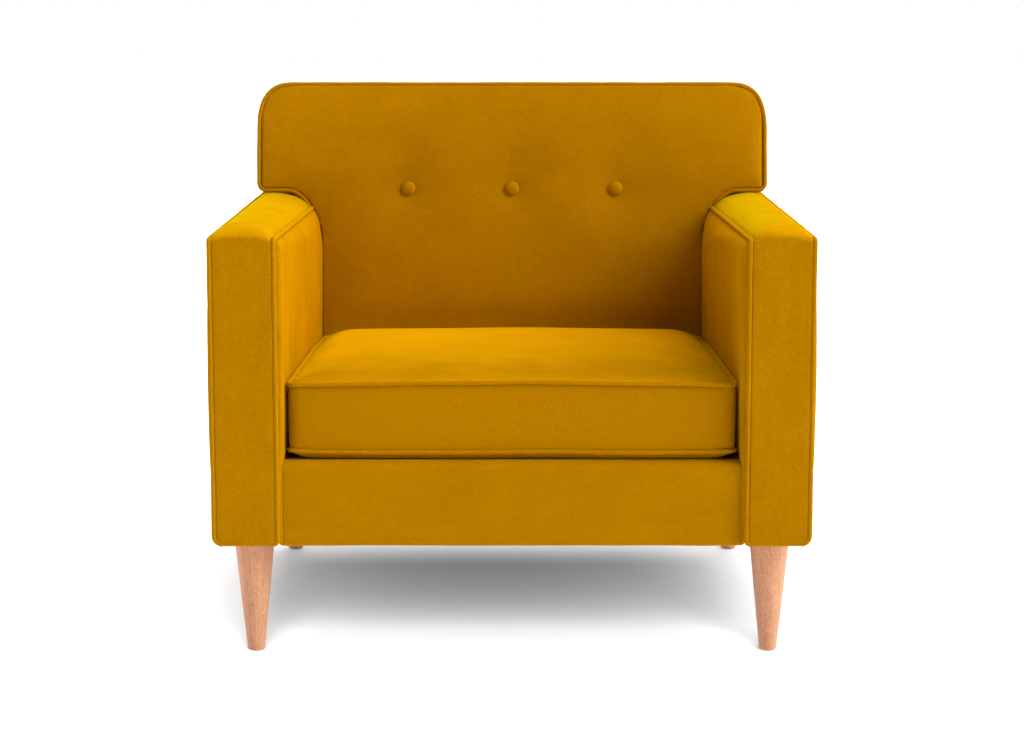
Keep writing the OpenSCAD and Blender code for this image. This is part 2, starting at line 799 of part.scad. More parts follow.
module arm_welts(side) color(FABRIC) on_side(side) {
    arm_welt(welt_in + welt_r, base_h + arm_inner_corner_r, face_y(arm_h - welt_step) - seat_gap);
    arm_welt(welt_out - welt_r, base_h + arm_corner_r, rear_y(arm_h - welt_step) - rear_inner - seat_gap);
}
module left_arm_welts() arm_welts(-1);
module right_arm_welts() arm_welts(1);

module front_rail_cover() color(FABRIC) place() {
    top = deck_h - apron_drop;
    along_x(-welt_in + seat_gap, welt_in - seat_gap, concat(
        [[apron_rear, base_h], [apron_rear, top]],
        arc(apron_setback + apron_edge_r, top - apron_edge_r, apron_edge_r, apron_edge_r, 90, 180, 6),
        [[apron_setback, base_h]]
    ));
}

// The whole back, drawn in by d, between two depths behind its face
module back_body(d, t0, t1) intersection() {
    on_face() translate([0, 0, -t1]) linear_extrude(t1 - t0) polygon(full_outline(d));
    along_y(0, far, above_arms(d));
    translate([-far / 2, 0, deck_h + seat_gap]) cube(far);
}

module back_pad() color(FABRIC) place() difference() {
    union() {
        back_body(welt_step, 0, welt_step - seat_gap);
        back_body(pad_in, welt_step - seat_gap, pad_t);
    }
    on_face() for (k = [-1:1]) translate([k * button_pitch, button_s, 0]) {
        translate([0, 0, -button_pocket]) cylinder(h = button_pocket + over, r = button_r + 2, $fn = 48);
        translate([0, 0, -pad_t - over]) cylinder(h = pad_t + over, r = tie_r + seat_gap, $fn = 16);
    }
}

module back_boxing() color(FABRIC) place() difference() {
    intersection() {
        back_body(boxing_in, welt_step, far / 2);
        ahead_of_rear();
    }
    back_body(boxing_in + boxing_t, 0, far / 2);
    // It ends beside the stiles, under the ears
    box(-wing_x, wing_x, 0, far, 0, ear_h + boxing_in + boxing_t + over);
}

module back_welt() color(FABRIC) place() on_face()
    bar([for (p = t_outline(welt_r)) [p[0], p[1], -welt_r]], welt_r, [0, 0, 1]);

module outside_back() color(FABRIC) place() intersection() {
    on_rear() box(-far / 2, far / 2, -outside_t, 0, 0, far);
    on_face() translate([0, 0, -far / 2]) linear_extrude(far / 2) polygon(full_outline(boxing_in));
}

module back_buttons() color(FABRIC) place() on_face() {
    dome = 3;
    low = -button_pocket + seat_gap;
    for (k = [-1:1]) translate([k * button_pitch, button_s, low])
        rotate_extrude($fn = 48) polygon(concat(
            [[0, 0], [button_r - 2, 0], [button_r, 2]],
            arc(0, button_t - dome, button_r, dome, 0, 90, 6)
        ));
}

module button_ties() color(CLOTH) place() on_face()
    for (k = [-1:1]) translate([k * button_pitch, button_s, -stile_front + seat_gap])
        cylinder(h = stile_front - button_pocket - seat_gap, r = tie_r, $fn = 16);

module dust_cover() color(CLOTH) difference() {
    place() box(-block_out, block_out, front_rail_y, rear_foot_y - rear_inner,
        block_base - seat_gap - cloth_t, block_base - seat_gap);
    each_leg() translate([0, 0, base_h + plate_t]) cube(plate_w + 2, center = true);
}

// Slab of the cushion between two heights, drawn in by d, that ends at the depth y
module cushion_slab(d, z0, z1, y) intersection() {
    translate([0, 0, z0]) linear_extrude(z1 - z0) polygon(cushion_plan(d, y));
    ahead_of_face(-cushion_back_gap - 1.1 * d);
}

module cushion_crown_shape() intersection() {
    inset = 120;
    hull() {
        y = cushion_rear(cushion_top);
        translate([0, 0, cushion_top - over]) linear_extrude(over) polygon(cushion_plan(welt_step, y));
        for (d = [inset / 3, inset]) {
            lift = d < inset ? 0.7 * cushion_crown : cushion_crown;
            translate([0, 0, cushion_top])
                linear_extrude(lift) polygon([
                    for (p = cushion_plan(0, y))
                        [p[0] * (1 - d / cushion_front_half), y / 2 + (p[1] - y / 2) * (1 - 2 * d / y)]
                ]);
        }
    }
    ahead_of_face(-cushion_back_gap - 1.1 * welt_step);
}

module core_shape(g) {
    low = cushion_base + cover_t / 2 - g;
    cushion_slab(cover_t - g, low, cushion_top - cover_t / 2 + g, cushion_rear(cushion_top));
}

module cushion_core() color(FOAM) place() core_shape(0);

module cushion_cover() color(FABRIC) place() difference() {
    union() {
        middle = (cushion_base + cushion_top) / 2;
        cushion_slab(0, cushion_low + welt_step, cushion_top - welt_step, cushion_rear(cushion_top));
        cushion_slab(welt_step, cushion_base, middle, cushion_rear(cushion_base + welt_r));
        cushion_slab(welt_step, middle, cushion_top, cushion_rear(cushion_top));
        cushion_crown_shape();
    }
    core_shape(seat_gap);
    on_face() box(
        -zip_l / 2 - over, zip_l / 2 + over,
        zip_s - zip_tape_w / 2 - over, zip_s + zip_tape_w / 2 + over,
        cushion_back_gap - over, cushion_back_gap + zip_groove
    );
}

module cushion_welts() color(FABRIC) place()
    for (z = [cushion_low + welt_r, cushion_top - welt_r]) {
        line = [for (p = cushion_plan(welt_r, cushion_rear(z))) [p[0], p[1], z]];
        bar(line, welt_r, [0, 0, 1], closed = true);
    }

module cushion_zip() color(CLOTH) place() on_face() {
    chain_back = zip_floor - zip_tape_t;
    box(-zip_l / 2, zip_l / 2, zip_s - zip_tape_w / 2, zip_s + zip_tape_w / 2, chain_back, zip_floor);
    box(-zip_l / 2, zip_l / 2, zip_s - zip_chain_w / 2, zip_s + zip_chain_w / 2,
        chain_back - zip_chain_t, chain_back);
}

// Slider that straddles the chain, open towards the tape
module zip_slider() color(STEEL) place() on_face() {
    chain_face = zip_floor - zip_tape_t - zip_chain_t;
    back = chain_face - 1.6;
    difference() {
        box(slider_x - slider_l / 2, slider_x + slider_l / 2, zip_s - slider_w / 2, zip_s + slider_w / 2,
            back, zip_floor - zip_tape_t - seat_gap);
        box(slider_x - slider_l, slider_x + slider_l, zip_s - zip_chain_w / 2 - seat_gap,
            zip_s + zip_chain_w / 2 + seat_gap, chain_face - seat_gap, zip_floor);
    }
}

module leg(x, y) color(BEECH) place() translate([x, y, 0]) {
    taper = (leg_top_r - leg_foot_r) / leg_h;
    foot_z = glide_proud;
    chamfer_r = leg_foot_r + taper * (foot_z + foot_chamfer);
    top = base_h - over;
    difference() {
        rotate_extrude($fn = 64) polygon([
            [0, foot_z], [leg_foot_r - foot_chamfer, foot_z], [chamfer_r, foot_z + foot_chamfer],
            [leg_top_r - taper * over, top], [leg_top_r - over, base_h], [0, base_h]
        ]);
        translate([0, 0, base_h - bolt_l / 2 - hole_gap])
            cylinder(h = bolt_l, r = bolt_r + hole_gap, $fn = 32);
        translate([0, 0, foot_z - over])
            cylinder(h = glide_pin + over + hole_gap, r = glide_pin_r + hole_gap, $fn = 16);
    }
}
module leg_front_left() leg(-leg_x, leg_from_front);
module leg_front_right() leg(leg_x, leg_from_front);
module leg_rear_left() leg(-leg_x, leg_rear_y);
module leg_rear_right() leg(leg_x, leg_rear_y);

module leg_bolts() color(STEEL) each_leg()
    translate([0, 0, base_h - bolt_l / 2]) cylinder(h = bolt_l, r = bolt_r, $fn = 32);

module leg_plates() color(STEEL) each_leg() difference() {
    low = base_h + seat_gap;
    union() {
        translate([-plate_w / 2, -plate_w / 2, low]) cube([plate_w, plate_w, plate_t]);
        translate([0, 0, low]) cylinder(h = plate_t + nut_h, r = nut_r, $fn = 32);
    }
    translate([0, 0, low - over]) cylinder(h = plate_t + nut_h + 2 * over, r = bolt_r + hole_gap, $fn = 32);
}

module leg_glides() color(CLOTH) each_leg() {
    cylinder(h = glide_proud - hole_gap, r = glide_r, $fn = 48);
    cylinder(h = glide_proud + glide_pin - hole_gap, r = glide_pin_r, $fn = 16);
}

front_rail();
spring_rail();
rear_rail();
left_side_rail();
right_side_rail();
leg_blocks();
corner_braces();
left_arm_front_post();
right_arm_front_post();
left_arm_rear_post();
right_arm_rear_post();
left_arm_top_rail();
right_arm_top_rail();
left_back_stile();
right_back_stile();
back_top_rail();
back_lower_rail();
button_rail();
rear_top_rail();
left_wing_block();
right_wing_block();
frame_screws();
seat_springs();
spring_clips();
spring_ties();
back_webbing();
deck_pad();
deck_cloth();
left_arm_inner_pad();
right_arm_inner_pad();
left_arm_outer_panel();
right_arm_outer_panel();
left_arm_band();
right_arm_band();
left_arm_welts();
right_arm_welts();
front_rail_cover();
back_pad();
back_boxing();
back_welt();
outside_back();
back_buttons();
button_ties();
dust_cover();
cushion_core();
cushion_cover();
cushion_welts();
cushion_zip();
zip_slider();
leg_front_left();
leg_front_right();
leg_rear_left();
leg_rear_right();
leg_bolts();
leg_plates();
leg_glides();
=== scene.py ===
"""Upholstered armchair: the covers, piping, buttons, seat cushion and legs round its frame."""

import math

import bmesh
import bpy
import numpy as np
from mathutils import Matrix, Vector, noise


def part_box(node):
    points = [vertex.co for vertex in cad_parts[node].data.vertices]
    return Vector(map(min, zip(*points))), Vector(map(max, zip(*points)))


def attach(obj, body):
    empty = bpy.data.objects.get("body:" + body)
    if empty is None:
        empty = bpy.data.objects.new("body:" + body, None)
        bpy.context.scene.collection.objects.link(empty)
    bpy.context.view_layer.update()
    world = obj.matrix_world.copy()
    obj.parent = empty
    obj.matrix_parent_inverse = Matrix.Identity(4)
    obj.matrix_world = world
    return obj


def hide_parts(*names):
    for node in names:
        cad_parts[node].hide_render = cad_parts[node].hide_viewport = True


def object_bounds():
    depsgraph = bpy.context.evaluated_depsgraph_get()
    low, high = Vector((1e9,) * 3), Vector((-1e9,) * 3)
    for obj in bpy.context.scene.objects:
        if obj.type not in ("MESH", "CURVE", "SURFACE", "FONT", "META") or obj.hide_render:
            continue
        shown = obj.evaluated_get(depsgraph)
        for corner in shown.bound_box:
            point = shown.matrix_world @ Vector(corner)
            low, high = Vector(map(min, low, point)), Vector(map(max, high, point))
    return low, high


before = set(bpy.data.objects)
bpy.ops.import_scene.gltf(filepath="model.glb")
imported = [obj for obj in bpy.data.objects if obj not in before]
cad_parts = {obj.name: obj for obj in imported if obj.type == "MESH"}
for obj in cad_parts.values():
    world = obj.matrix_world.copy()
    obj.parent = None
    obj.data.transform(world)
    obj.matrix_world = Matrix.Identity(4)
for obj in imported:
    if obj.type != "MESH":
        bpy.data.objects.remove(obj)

bl_info = {
    "name": "Box-arm armchair",
    "version": (1, 0, 0),
    "blender": (4, 5, 0),
    "location": "View3D > Sidebar > Armchair",
    "description": "Covers, piping, buttons, cushion and legs of an upholstered armchair",
    "category": "Object",
}

CAD_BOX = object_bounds()
MM = 0.001
# Points closer than this are one point
SAME_POINT = 1e-5
# Frames for which a cover is blown up
PUFF_FRAMES = 20
# Height of the small wander of the piping
PIPING_WOBBLE = 0.5 * MM

# Places taken from the frame. The seat reaches from its front to the foot of the inside back.
DECK_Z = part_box("deck_cloth")[1].z
BODY_FRONT = CAD_BOX[0].y
FOOT_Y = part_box("back_pad")[0].y
SEAT_DEPTH = FOOT_Y - BODY_FRONT
TOP_Z = CAD_BOX[1].z
LEG_NODES = ("leg_front_left", "leg_front_right", "leg_rear_left", "leg_rear_right")
# Lean of the inside back and of the outside back
RECLINE = math.radians(10.5)
REAR_LEAN = math.radians(3.0)
# Lays a point out on the inside back: x across, y up along it, z out towards the seat
FACE = Matrix.Translation((0, FOOT_Y, DECK_Z)) @ Matrix.Rotation(math.pi / 2 - RECLINE, 4, "X")


# ---------------------------------------------------------------- settings


class FabricSettings(bpy.types.PropertyGroup):
    """Colour and surface of the velvet."""

    colour: bpy.props.FloatVectorProperty(
        name="Velvet", description="Main colour of the velvet", subtype="COLOR",
        size=3, min=0, max=1, default=(0.40, 0.174, 0.0004),
    )
    shade: bpy.props.FloatVectorProperty(
        name="Shaded nap", description="Colour where the nap lies away from the light",
        subtype="COLOR", size=3, min=0, max=1, default=(0.25, 0.101, 0.0003),
    )
    sheen: bpy.props.FloatProperty(
        name="Sheen", description="Strength of the soft light at the edges of the velvet",
        subtype="FACTOR", min=0, max=1, default=0.35,
    )
    ripple: bpy.props.FloatProperty(
        name="Ripple", description="How far stretched covers wander from a true plane",
        unit="LENGTH", min=0, max=0.005, default=0.0009,
    )


class PipingSettings(bpy.types.PropertyGroup):
    """Round piping along the seams."""

    radius: bpy.props.FloatProperty(
        name="Radius", description="Radius of the piping", unit="LENGTH",
        min=0.002, max=0.005, default=0.0039,
    )
    step: bpy.props.FloatProperty(
        name="Step", description="Distance between the rings of the piping's mesh", unit="LENGTH",
        min=0.002, max=0.01, default=0.004,
    )


class CushionSettings(bpy.types.PropertyGroup):
    """Loose seat cushion."""

    voxel: bpy.props.FloatProperty(
        name="Mesh size", description="Edge length of the even mesh that is puffed up",
        unit="LENGTH", min=0.004, max=0.02, default=0.006,
    )
    crown: bpy.props.FloatProperty(
        name="Crown", description="Rise of the filling from the upper seam to the middle",
        unit="LENGTH", min=0, max=0.03, default=0.0165,
    )
    shoulder: bpy.props.FloatProperty(
        name="Shoulder", description="Distance from a seam over which the crown rises",
        unit="LENGTH", min=0.02, max=0.2, default=0.12,
    )
    puff: bpy.props.FloatProperty(
        name="Puff", description="How far the panels may swell beyond the filling", unit="LENGTH",
        min=0, max=0.02, default=0.005,
    )
    arch: bpy.props.FloatProperty(
        name="Arch", description="Rise of the upper seam in the middle of the cushion",
        unit="LENGTH", min=0, max=0.02, default=0.0055,
    )


class BackSettings(bpy.types.PropertyGroup):
    """Padding of the inside back."""

    voxel: bpy.props.FloatProperty(
        name="Mesh size", description="Edge length of the even mesh that is puffed up",
        unit="LENGTH", min=0.004, max=0.02, default=0.006,
    )
    puff: bpy.props.FloatProperty(
        name="Puff", description="How far the pad may swell between its seams and buttons",
        unit="LENGTH", min=0, max=0.02, default=0.008,
    )
    dimple: bpy.props.FloatProperty(
        name="Dimple", description="Depth of the dimples round the buttons", unit="LENGTH",
        min=0, max=0.02, default=0.004,
    )


class WoodSettings(bpy.types.PropertyGroup):
    """Turned legs."""

    colour: bpy.props.FloatVectorProperty(
        name="Beech", description="Main colour of the legs", subtype="COLOR",
        size=3, min=0, max=1, default=(0.64, 0.315, 0.165),
    )
    grain: bpy.props.FloatVectorProperty(
        name="Grain", description="Colour of the darker grain", subtype="COLOR",
        size=3, min=0, max=1, default=(0.36, 0.15, 0.075),
    )


class StageSettings(bpy.types.PropertyGroup):
    """Floor, lights and camera."""

    camera_height: bpy.props.FloatProperty(
        name="Camera height", description="Height of the camera above the floor", unit="LENGTH",
        min=0.2, max=3, default=1.0476,
    )
    camera_distance: bpy.props.FloatProperty(
        name="Camera distance", description="Distance of the camera from the middle of the chair",
        unit="LENGTH", min=1, max=10, default=4.161,
    )
    camera_pitch: bpy.props.FloatProperty(
        name="Camera pitch", description="Angle of the camera below the horizon", unit="ROTATION",
        min=0, max=1.5, default=math.radians(8.806),
    )
    lens: bpy.props.FloatProperty(
        name="Lens", description="Focal length in millimetres", unit="CAMERA",
        min=20, max=200, default=85.3,
    )
    backdrop_light: bpy.props.FloatProperty(
        name="Backdrop light", description="Light that the white backdrop gives",
        subtype="FACTOR", min=0, max=2, default=0.15,
    )
    floor_glow: bpy.props.FloatProperty(
        name="Floor glow", description="Light that the floor gives back in shadow",
        subtype="FACTOR", min=0, max=1, default=0.11,
    )


# ---------------------------------------------------------------- shared helpers


def new_object(name, data):
    made = bpy.data.objects.new(name, data)
    bpy.context.scene.collection.objects.link(made)
    return made


def object_of(name, bm):
    """A new object with the bmesh as its mesh."""
    mesh = bpy.data.meshes.new(name)
    bm.to_mesh(mesh)
    bm.free()
    return new_object(name, mesh)


def finished(obj, body, material, replaces=()):
    """Gives a piece its material and smooth shading, and hands it to the frame."""
    obj.data.materials.clear()
    obj.data.materials.append(material)
    obj.data.shade_smooth()
    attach(obj, body)
    if replaces:
        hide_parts(*replaces)


def baked(obj):
    """Applies the object's modifiers to its mesh."""
    bpy.context.view_layer.update()
    shown = obj.evaluated_get(bpy.context.evaluated_depsgraph_get())
    mesh = bpy.data.meshes.new_from_object(shown)
    obj.modifiers.clear()
    old = obj.data
    obj.data = mesh
    bpy.data.meshes.remove(old)
    return obj


def points_of(mesh):
    flat = np.zeros(len(mesh.vertices) * 3)
    mesh.vertices.foreach_get("co", flat)
    return flat.reshape(-1, 3)


def set_points(mesh, points):
    mesh.vertices.foreach_set("co", points.ravel())
    mesh.update()


def moved_by(points, matrix):
    return points @ np.array(matrix.to_3x3()).T + np.array(matrix.translation)


def normals_of(mesh):
    flat = np.zeros(len(mesh.vertices) * 3)
    mesh.vertices.foreach_get("normal", flat)
    return flat.reshape(-1, 3)


def merged_copy(node):
    """A node of the frame as a bmesh, with its loose triangles joined."""
    bm = bmesh.new()
    bm.from_mesh(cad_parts[node].data)
    bmesh.ops.remove_doubles(bm, verts=bm.verts, dist=SAME_POINT)
    return bm


def turned_solid(bm, profile, x, y, steps):
    """Adds a profile of radii and heights, spun round an upright axis through x and y."""
    ring = [bm.verts.new((x + radius, y, z)) for radius, z in profile]
    edges = [bm.edges.new(pair) for pair in zip(ring, ring[1:])]
    bmesh.ops.spin(
        bm, geom=ring + edges, cent=(x, y, 0), axis=(0, 0, 1), angle=2 * math.pi,
        steps=steps, use_merge=True, use_duplicate=False,
    )
    bmesh.ops.remove_doubles(bm, verts=bm.verts, dist=SAME_POINT)
    bmesh.ops.recalc_face_normals(bm, faces=bm.faces)


def even_piece(name, bm, voxel, softening, turn=Matrix.Identity(4)):
    """Turns a closed form into a piece of even quads with softened edges.

    The grid of quads follows the axes of turn, so that a leaning face stays flat.
    """
    bm.transform(turn.inverted())
    obj = object_of(name, bm)
    remesh = obj.modifiers.new("Even mesh", "REMESH")
    remesh.mode = "VOXEL"
    remesh.voxel_size = voxel
    baked(obj)
    bm = bmesh.new()
    bm.from_mesh(obj.data)
    for _ in range(softening):
        bmesh.ops.smooth_vert(
            bm, verts=bm.verts, factor=0.5, use_axis_x=True, use_axis_y=True, use_axis_z=True
        )
    bm.transform(turn)
    bm.to_mesh(obj.data)
    bm.free()
    return obj


def swell(obj, amount):
    """Moves every point outwards by an amount, one number or one for each point."""
    points = points_of(obj.data)
    set_points(obj.data, points + normals_of(obj.data) * np.reshape(amount, (-1, 1)))


def ripple(obj, height, size, seed):
    """Lets a stretched cover wander a little from its true shape."""
    offset = Vector((seed * 7.3, seed * 3.1, seed * 5.7))
    heights = [height * noise.noise(v.co / size + offset) for v in obj.data.vertices]
    swell(obj, np.array(heights))


def smooth_step(low, high, value):
    t = np.clip((value - low) / (high - low), 0, 1)
    return t * t * (3 - 2 * t)


def puffed(obj, held, pressure, cap):
    """Blows a closed cover up with simulated cloth, while the held points stay where they are.

    No point ends further than cap, one number or one for each point, from where it started.
    """
    start = points_of(obj.data)
    group = obj.vertex_groups.new(name="held")
    for index in np.nonzero(held)[0]:
        group.add([int(index)], 1.0, "REPLACE")
    cloth = obj.modifiers.new("Cloth", "CLOTH")
    settings = cloth.settings
    settings.quality = 5
    settings.mass = 0.3
    settings.tension_stiffness = 12
    settings.compression_stiffness = 12
    settings.shear_stiffness = 6
    settings.bending_stiffness = 0.4
    settings.use_pressure = True
    settings.uniform_pressure_force = pressure
    settings.vertex_group_mass = group.name
    settings.effector_weights.gravity = 0
    cloth.collision_settings.use_collision = False
    cloth.point_cache.frame_end = PUFF_FRAMES
    scene = bpy.context.scene
    for frame_number in range(1, PUFF_FRAMES + 1):
        scene.frame_set(frame_number)
    baked(obj)
    scene.frame_set(1)
    obj.vertex_groups.clear()
    moved = points_of(obj.data) - start
    length = np.maximum(np.linalg.norm(moved, axis=1), 1e-9)
    limit = np.maximum(np.broadcast_to(cap, length.shape), 1e-6)
    set_points(obj.data, start + moved * (limit * np.tanh(length / limit) / length)[:, None])


def subdivided(obj):
    modifier = obj.modifiers.new("Smooth surface", "SUBSURF")
    modifier.levels = modifier.render_levels = 1


def resampled(points, step, closed):
    """Even points along a line."""
    line = np.array(points, float)
    if closed:
        line = np.vstack([line, line[:1]])
    lengths = np.concatenate([[0], np.cumsum(np.linalg.norm(np.diff(line, axis=0), axis=1))])
    count = max(2, round(lengths[-1] / step))
    at = np.linspace(0, lengths[-1], count + 1)
    even = np.stack([np.interp(at, lengths, line[:, k]) for k in range(3)], axis=1)
    return even[:-1] if closed else even


def piping_piece(name, lines):
    """Round piping along lines, each given as its points and whether it is closed."""
    settings = bpy.context.scene.chair_piping
    curve = bpy.data.curves.new(name, "CURVE")
    curve.dimensions = "3D"
    curve.bevel_depth = settings.radius
    curve.bevel_resolution = 4
    curve.use_fill_caps = True
    for line, closed in lines:
        even = resampled(line, settings.step, closed)
        spline = curve.splines.new("POLY")
        spline.points.add(len(even) - 1)
        spline.points.foreach_set("co", np.hstack([even, np.ones((len(even), 1))]).ravel())
        spline.use_cyclic_u = closed
    source = new_object(name + "_line", curve)
    bpy.context.view_layer.update()
    shown = source.evaluated_get(bpy.context.evaluated_depsgraph_get())
    mesh = bpy.data.meshes.new_from_object(shown)
    mesh.name = name
    bpy.data.objects.remove(source)
    bpy.data.curves.remove(curve)
    return new_object(name, mesh)


def arc(cx, cy, rx, ry, start, end, steps, power=1.0):
    """Points of an ellipse between two angles in degrees. A power below 1 makes it fuller."""
    made = []
    for k in range(steps + 1):
        a = math.radians(start + (end - start) * k / steps)
        c, s = math.cos(a), math.sin(a)
        made.append((
            cx + rx * math.copysign(abs(c) ** power, c),
            cy + ry * math.copysign(abs(s) ** power, s),
        ))
    return made


def mirrored(half):
    return [(-x, y) for x, y in reversed(half)]


# ---------------------------------------------------------------- materials


def feed(socket, value):
    """Sets an input to a value, or links it to the output socket of another node."""
    if isinstance(value, bpy.types.NodeSocket):
        socket.id_data.links.new(value, socket)
    else:
        socket.default_value = value


def add_node(tree, kind, inputs=None, **settings):
    made = tree.nodes.new(kind)
    for key, value in settings.items():
        setattr(made, key, value)
    for key, value in (inputs or {}).items():
        feed(made.inputs[key], value)
    return made


def blank_material(name, **sockets):
    """A material with these values on its shader, the shader, and the object coordinates."""
    material = bpy.data.materials.new(name)
    material.use_nodes = True
    shader = material.node_tree.nodes["Principled BSDF"]
    for key, value in sockets.items():
        shader.inputs[key.replace("_", " ")].default_value = value
    place = add_node(material.node_tree, "ShaderNodeTexCoord").outputs["Object"]
    return material, shader, place


def mapped(place, scale=(1, 1, 1), turn=(0, 0, 0)):
    return add_node(
        place.id_data, "ShaderNodeMapping", {"Vector": place, "Scale": scale, "Rotation": turn}
    ).outputs["Vector"]


def noise_of(place, scale, detail=2.0, roughness=0.5, distortion=0.0):
    """Noise of a scale, which is one number or one for each axis."""
    if isinstance(scale, tuple):
        place, scale = mapped(place, scale), 1.0
    return add_node(
        place.id_data, "ShaderNodeTexNoise",
        {"Vector": place, "Scale": scale, "Detail": detail, "Roughness": roughness,
         "Distortion": distortion},
    ).outputs["Fac"]


def math_of(operation, first, *others, clamp=False):
    """Result of a maths operation on values, of which the first is a socket."""
    made = add_node(first.id_data, "ShaderNodeMath", operation=operation, use_clamp=clamp)
    for socket, value in zip(made.inputs, (first, *others)):
        feed(socket, value)
    return made.outputs["Value"]


def ramped(value, low, high, to_max=1.0):
    """A value that rises from 0 at low to to_max at high."""
    return add_node(
        value.id_data, "ShaderNodeMapRange",
        {"Value": value, "From Min": low, "From Max": high, "To Max": to_max},
    ).outputs["Result"]


def weighted(*terms):
    """Sum of noises about their middle, each with its weight, round one half."""
    total = 0.5
    for value, weight in terms:
        centred = math_of("MULTIPLY_ADD", value, weight, -0.5 * weight)
        total = math_of("ADD", centred, total, clamp=True)
    return total


def mixed(factor, a, b):
    """Colour a where the factor is 0, and b where it is 1."""
    made = add_node(
        factor.id_data, "ShaderNodeMix", {"Factor": factor}, data_type="RGBA", clamp_factor=True
    )
    colours = [socket for socket in made.inputs if socket.type == "RGBA"]
    for socket, value in zip(colours, (a, b)):
        feed(socket, value if isinstance(value, bpy.types.NodeSocket) else (*value, 1))
    return next(socket for socket in made.outputs if socket.type == "RGBA")


def dressed(material, shader, colour, height, distance, strength):
    """Gives the shader its colour and its bump, and returns the material."""
    bump = add_node(
        shader.id_data, "ShaderNodeBump",
        {"Height": height, "Distance": distance, "Strength": strength},
    )
    feed(shader.inputs["Base Color"], colour)
    feed(shader.inputs["Normal"], bump.outputs["Normal"])
    return material


def faded(value, mask):
    """Draws a noise in towards its middle where the mask is low."""
    centred = math_of("SUBTRACT", value, 0.5)
    return math_of("ADD", math_of("MULTIPLY", centred, mask), 0.5)


# Where along the seat the painted light on the seat top begins, and where it is in full: a lighter
# colour towards the rear, standing in for the brighter light there
REAR_LIGHT_START = -380 * MM
REAR_LIGHT_END = 60 * MM
# Height over which a pattern that shows from above fades in
FADE_RISE = 10 * MM
# Brightness of the painted light in full at the rear of the seat top, beside the main colour
REAR_LIGHT_BRIGHTNESS = 1.8


def velvet(
    name, nap, streaks, clouds, painted_lift=1.0, above=None, painted_rear_light=0.0, sheen_tint=(1, 0.68, 0, 1),
):
    """Velvet. Nap gives how often its brushed streaks change along x, y and z, in one metre.

    Above is the height from which streaks and clouds show, if they don't show everywhere.
    The rear share is how much of a lighter colour is reached there at the rear of the seat: painted
    light that stands in for the brighter light on the rear of the seat top.
    """
    fabric = bpy.context.scene.chair_fabric
    material, shader, place = blank_material(
        name, Roughness=1.0, Specular_IOR_Level=0.0,
        Sheen_Weight=fabric.sheen, Sheen_Roughness=0.4, Sheen_Tint=sheen_tint,
    )
    patches = noise_of(place, 9, detail=3, roughness=0.55)
    brushed = noise_of(place, nap, detail=3, roughness=0.6, distortion=0.6)
    parts = [(patches, clouds), (brushed, streaks)]
    if above is not None:
        axes = add_node(place.id_data, "ShaderNodeSeparateXYZ", {"Vector": place}).outputs
        mask = ramped(axes["Z"], above, above + FADE_RISE)
        # Ramp towards the rear of the seat. It lightens the tone and mixes in a lighter colour
        # below: painted light for the brighter rear of the seat top.
        rearward = ramped(axes["Y"], REAR_LIGHT_START, REAR_LIGHT_END)
        parts.append((rearward, painted_rear_light))
        parts = [(faded(value, mask), weight) for value, weight in parts]
    pile = noise_of(place, 420, detail=3, roughness=0.65)
    tone = weighted(*parts, (pile, 1.5))
    # The lift brightens both colours of this piece's velvet: painted light, for a piece that the
    # lamps leave darker than it should look.
    light = tuple(min(1.0, c * painted_lift) for c in fabric.colour)
    dark = tuple(c * painted_lift for c in fabric.shade)
    colour = mixed(tone, dark, light)
    # Painted light: the seat top turns to a lighter colour towards its rear, standing in for the
    # brighter light that falls there.
    if painted_rear_light:
        share = math_of("MULTIPLY", rearward, mask)
        share = math_of("MULTIPLY", share, 0.5 * painted_rear_light)
        colour = mixed(share, colour, tuple(REAR_LIGHT_BRIGHTNESS * c for c in fabric.colour))
    fibres = noise_of(place, 900, detail=2, roughness=0.7)
    height = weighted((pile, 0.7), (fibres, 0.6))
    return dressed(material, shader, colour, height, 0.6 * MM, 0.8)


def beech(name):
    """Oiled beech, with grain along the leg and short dark flecks."""
    wood = bpy.context.scene.chair_wood
    material, shader, place = blank_material(name, Roughness=0.5, Specular_IOR_Level=0.35)
    long_grain = noise_of(place, (210, 210, 7), detail=4, roughness=0.6, distortion=0.4)
    rings = noise_of(place, (55, 55, 3), distortion=0.8)
    flecks = noise_of(place, (900, 900, 95), detail=1)
    fleck = ramped(flecks, 0.62, 0.72, to_max=0.75)
    pores = noise_of(place, (950, 950, 120), detail=3, roughness=0.7)
    tone = weighted((long_grain, 0.9), (rings, 0.6), (pores, 2.2))
    colour = mixed(tone, wood.grain, wood.colour)
    colour = mixed(fleck, colour, tuple(c * 0.8 for c in wood.grain))
    height = weighted((long_grain, 0.6), (flecks, -0.6))
    return dressed(material, shader, colour, height, 0.2 * MM, 0.5)


def sawn_wood(name):
    """Plain sawn frame timber."""
    material, shader, place = blank_material(name, Roughness=0.75, Specular_IOR_Level=0.2)
    grain = noise_of(place, (18, 160, 160), detail=4, roughness=0.6, distortion=0.7)
    knots = noise_of(place, 6, distortion=1.0)
    tone = weighted((grain, 1.0), (knots, 0.6))
    colour = mixed(tone, (0.45, 0.27, 0.12), (0.72, 0.52, 0.29))
    return dressed(material, shader, colour, grain, 0.4 * MM, 0.5)


def metal(name, colour, roughness):
    """Plated or drawn steel with fine handling marks."""
    material, shader, place = blank_material(name, Metallic=1.0, Roughness=roughness)
    scuffs = noise_of(place, (300, 40, 300), detail=3, roughness=0.6)
    tone = weighted((scuffs, 1.0))
    shown = mixed(tone, tuple(0.75 * c for c in colour), colour)
    return dressed(material, shader, shown, scuffs, 0.1 * MM, 0.4)


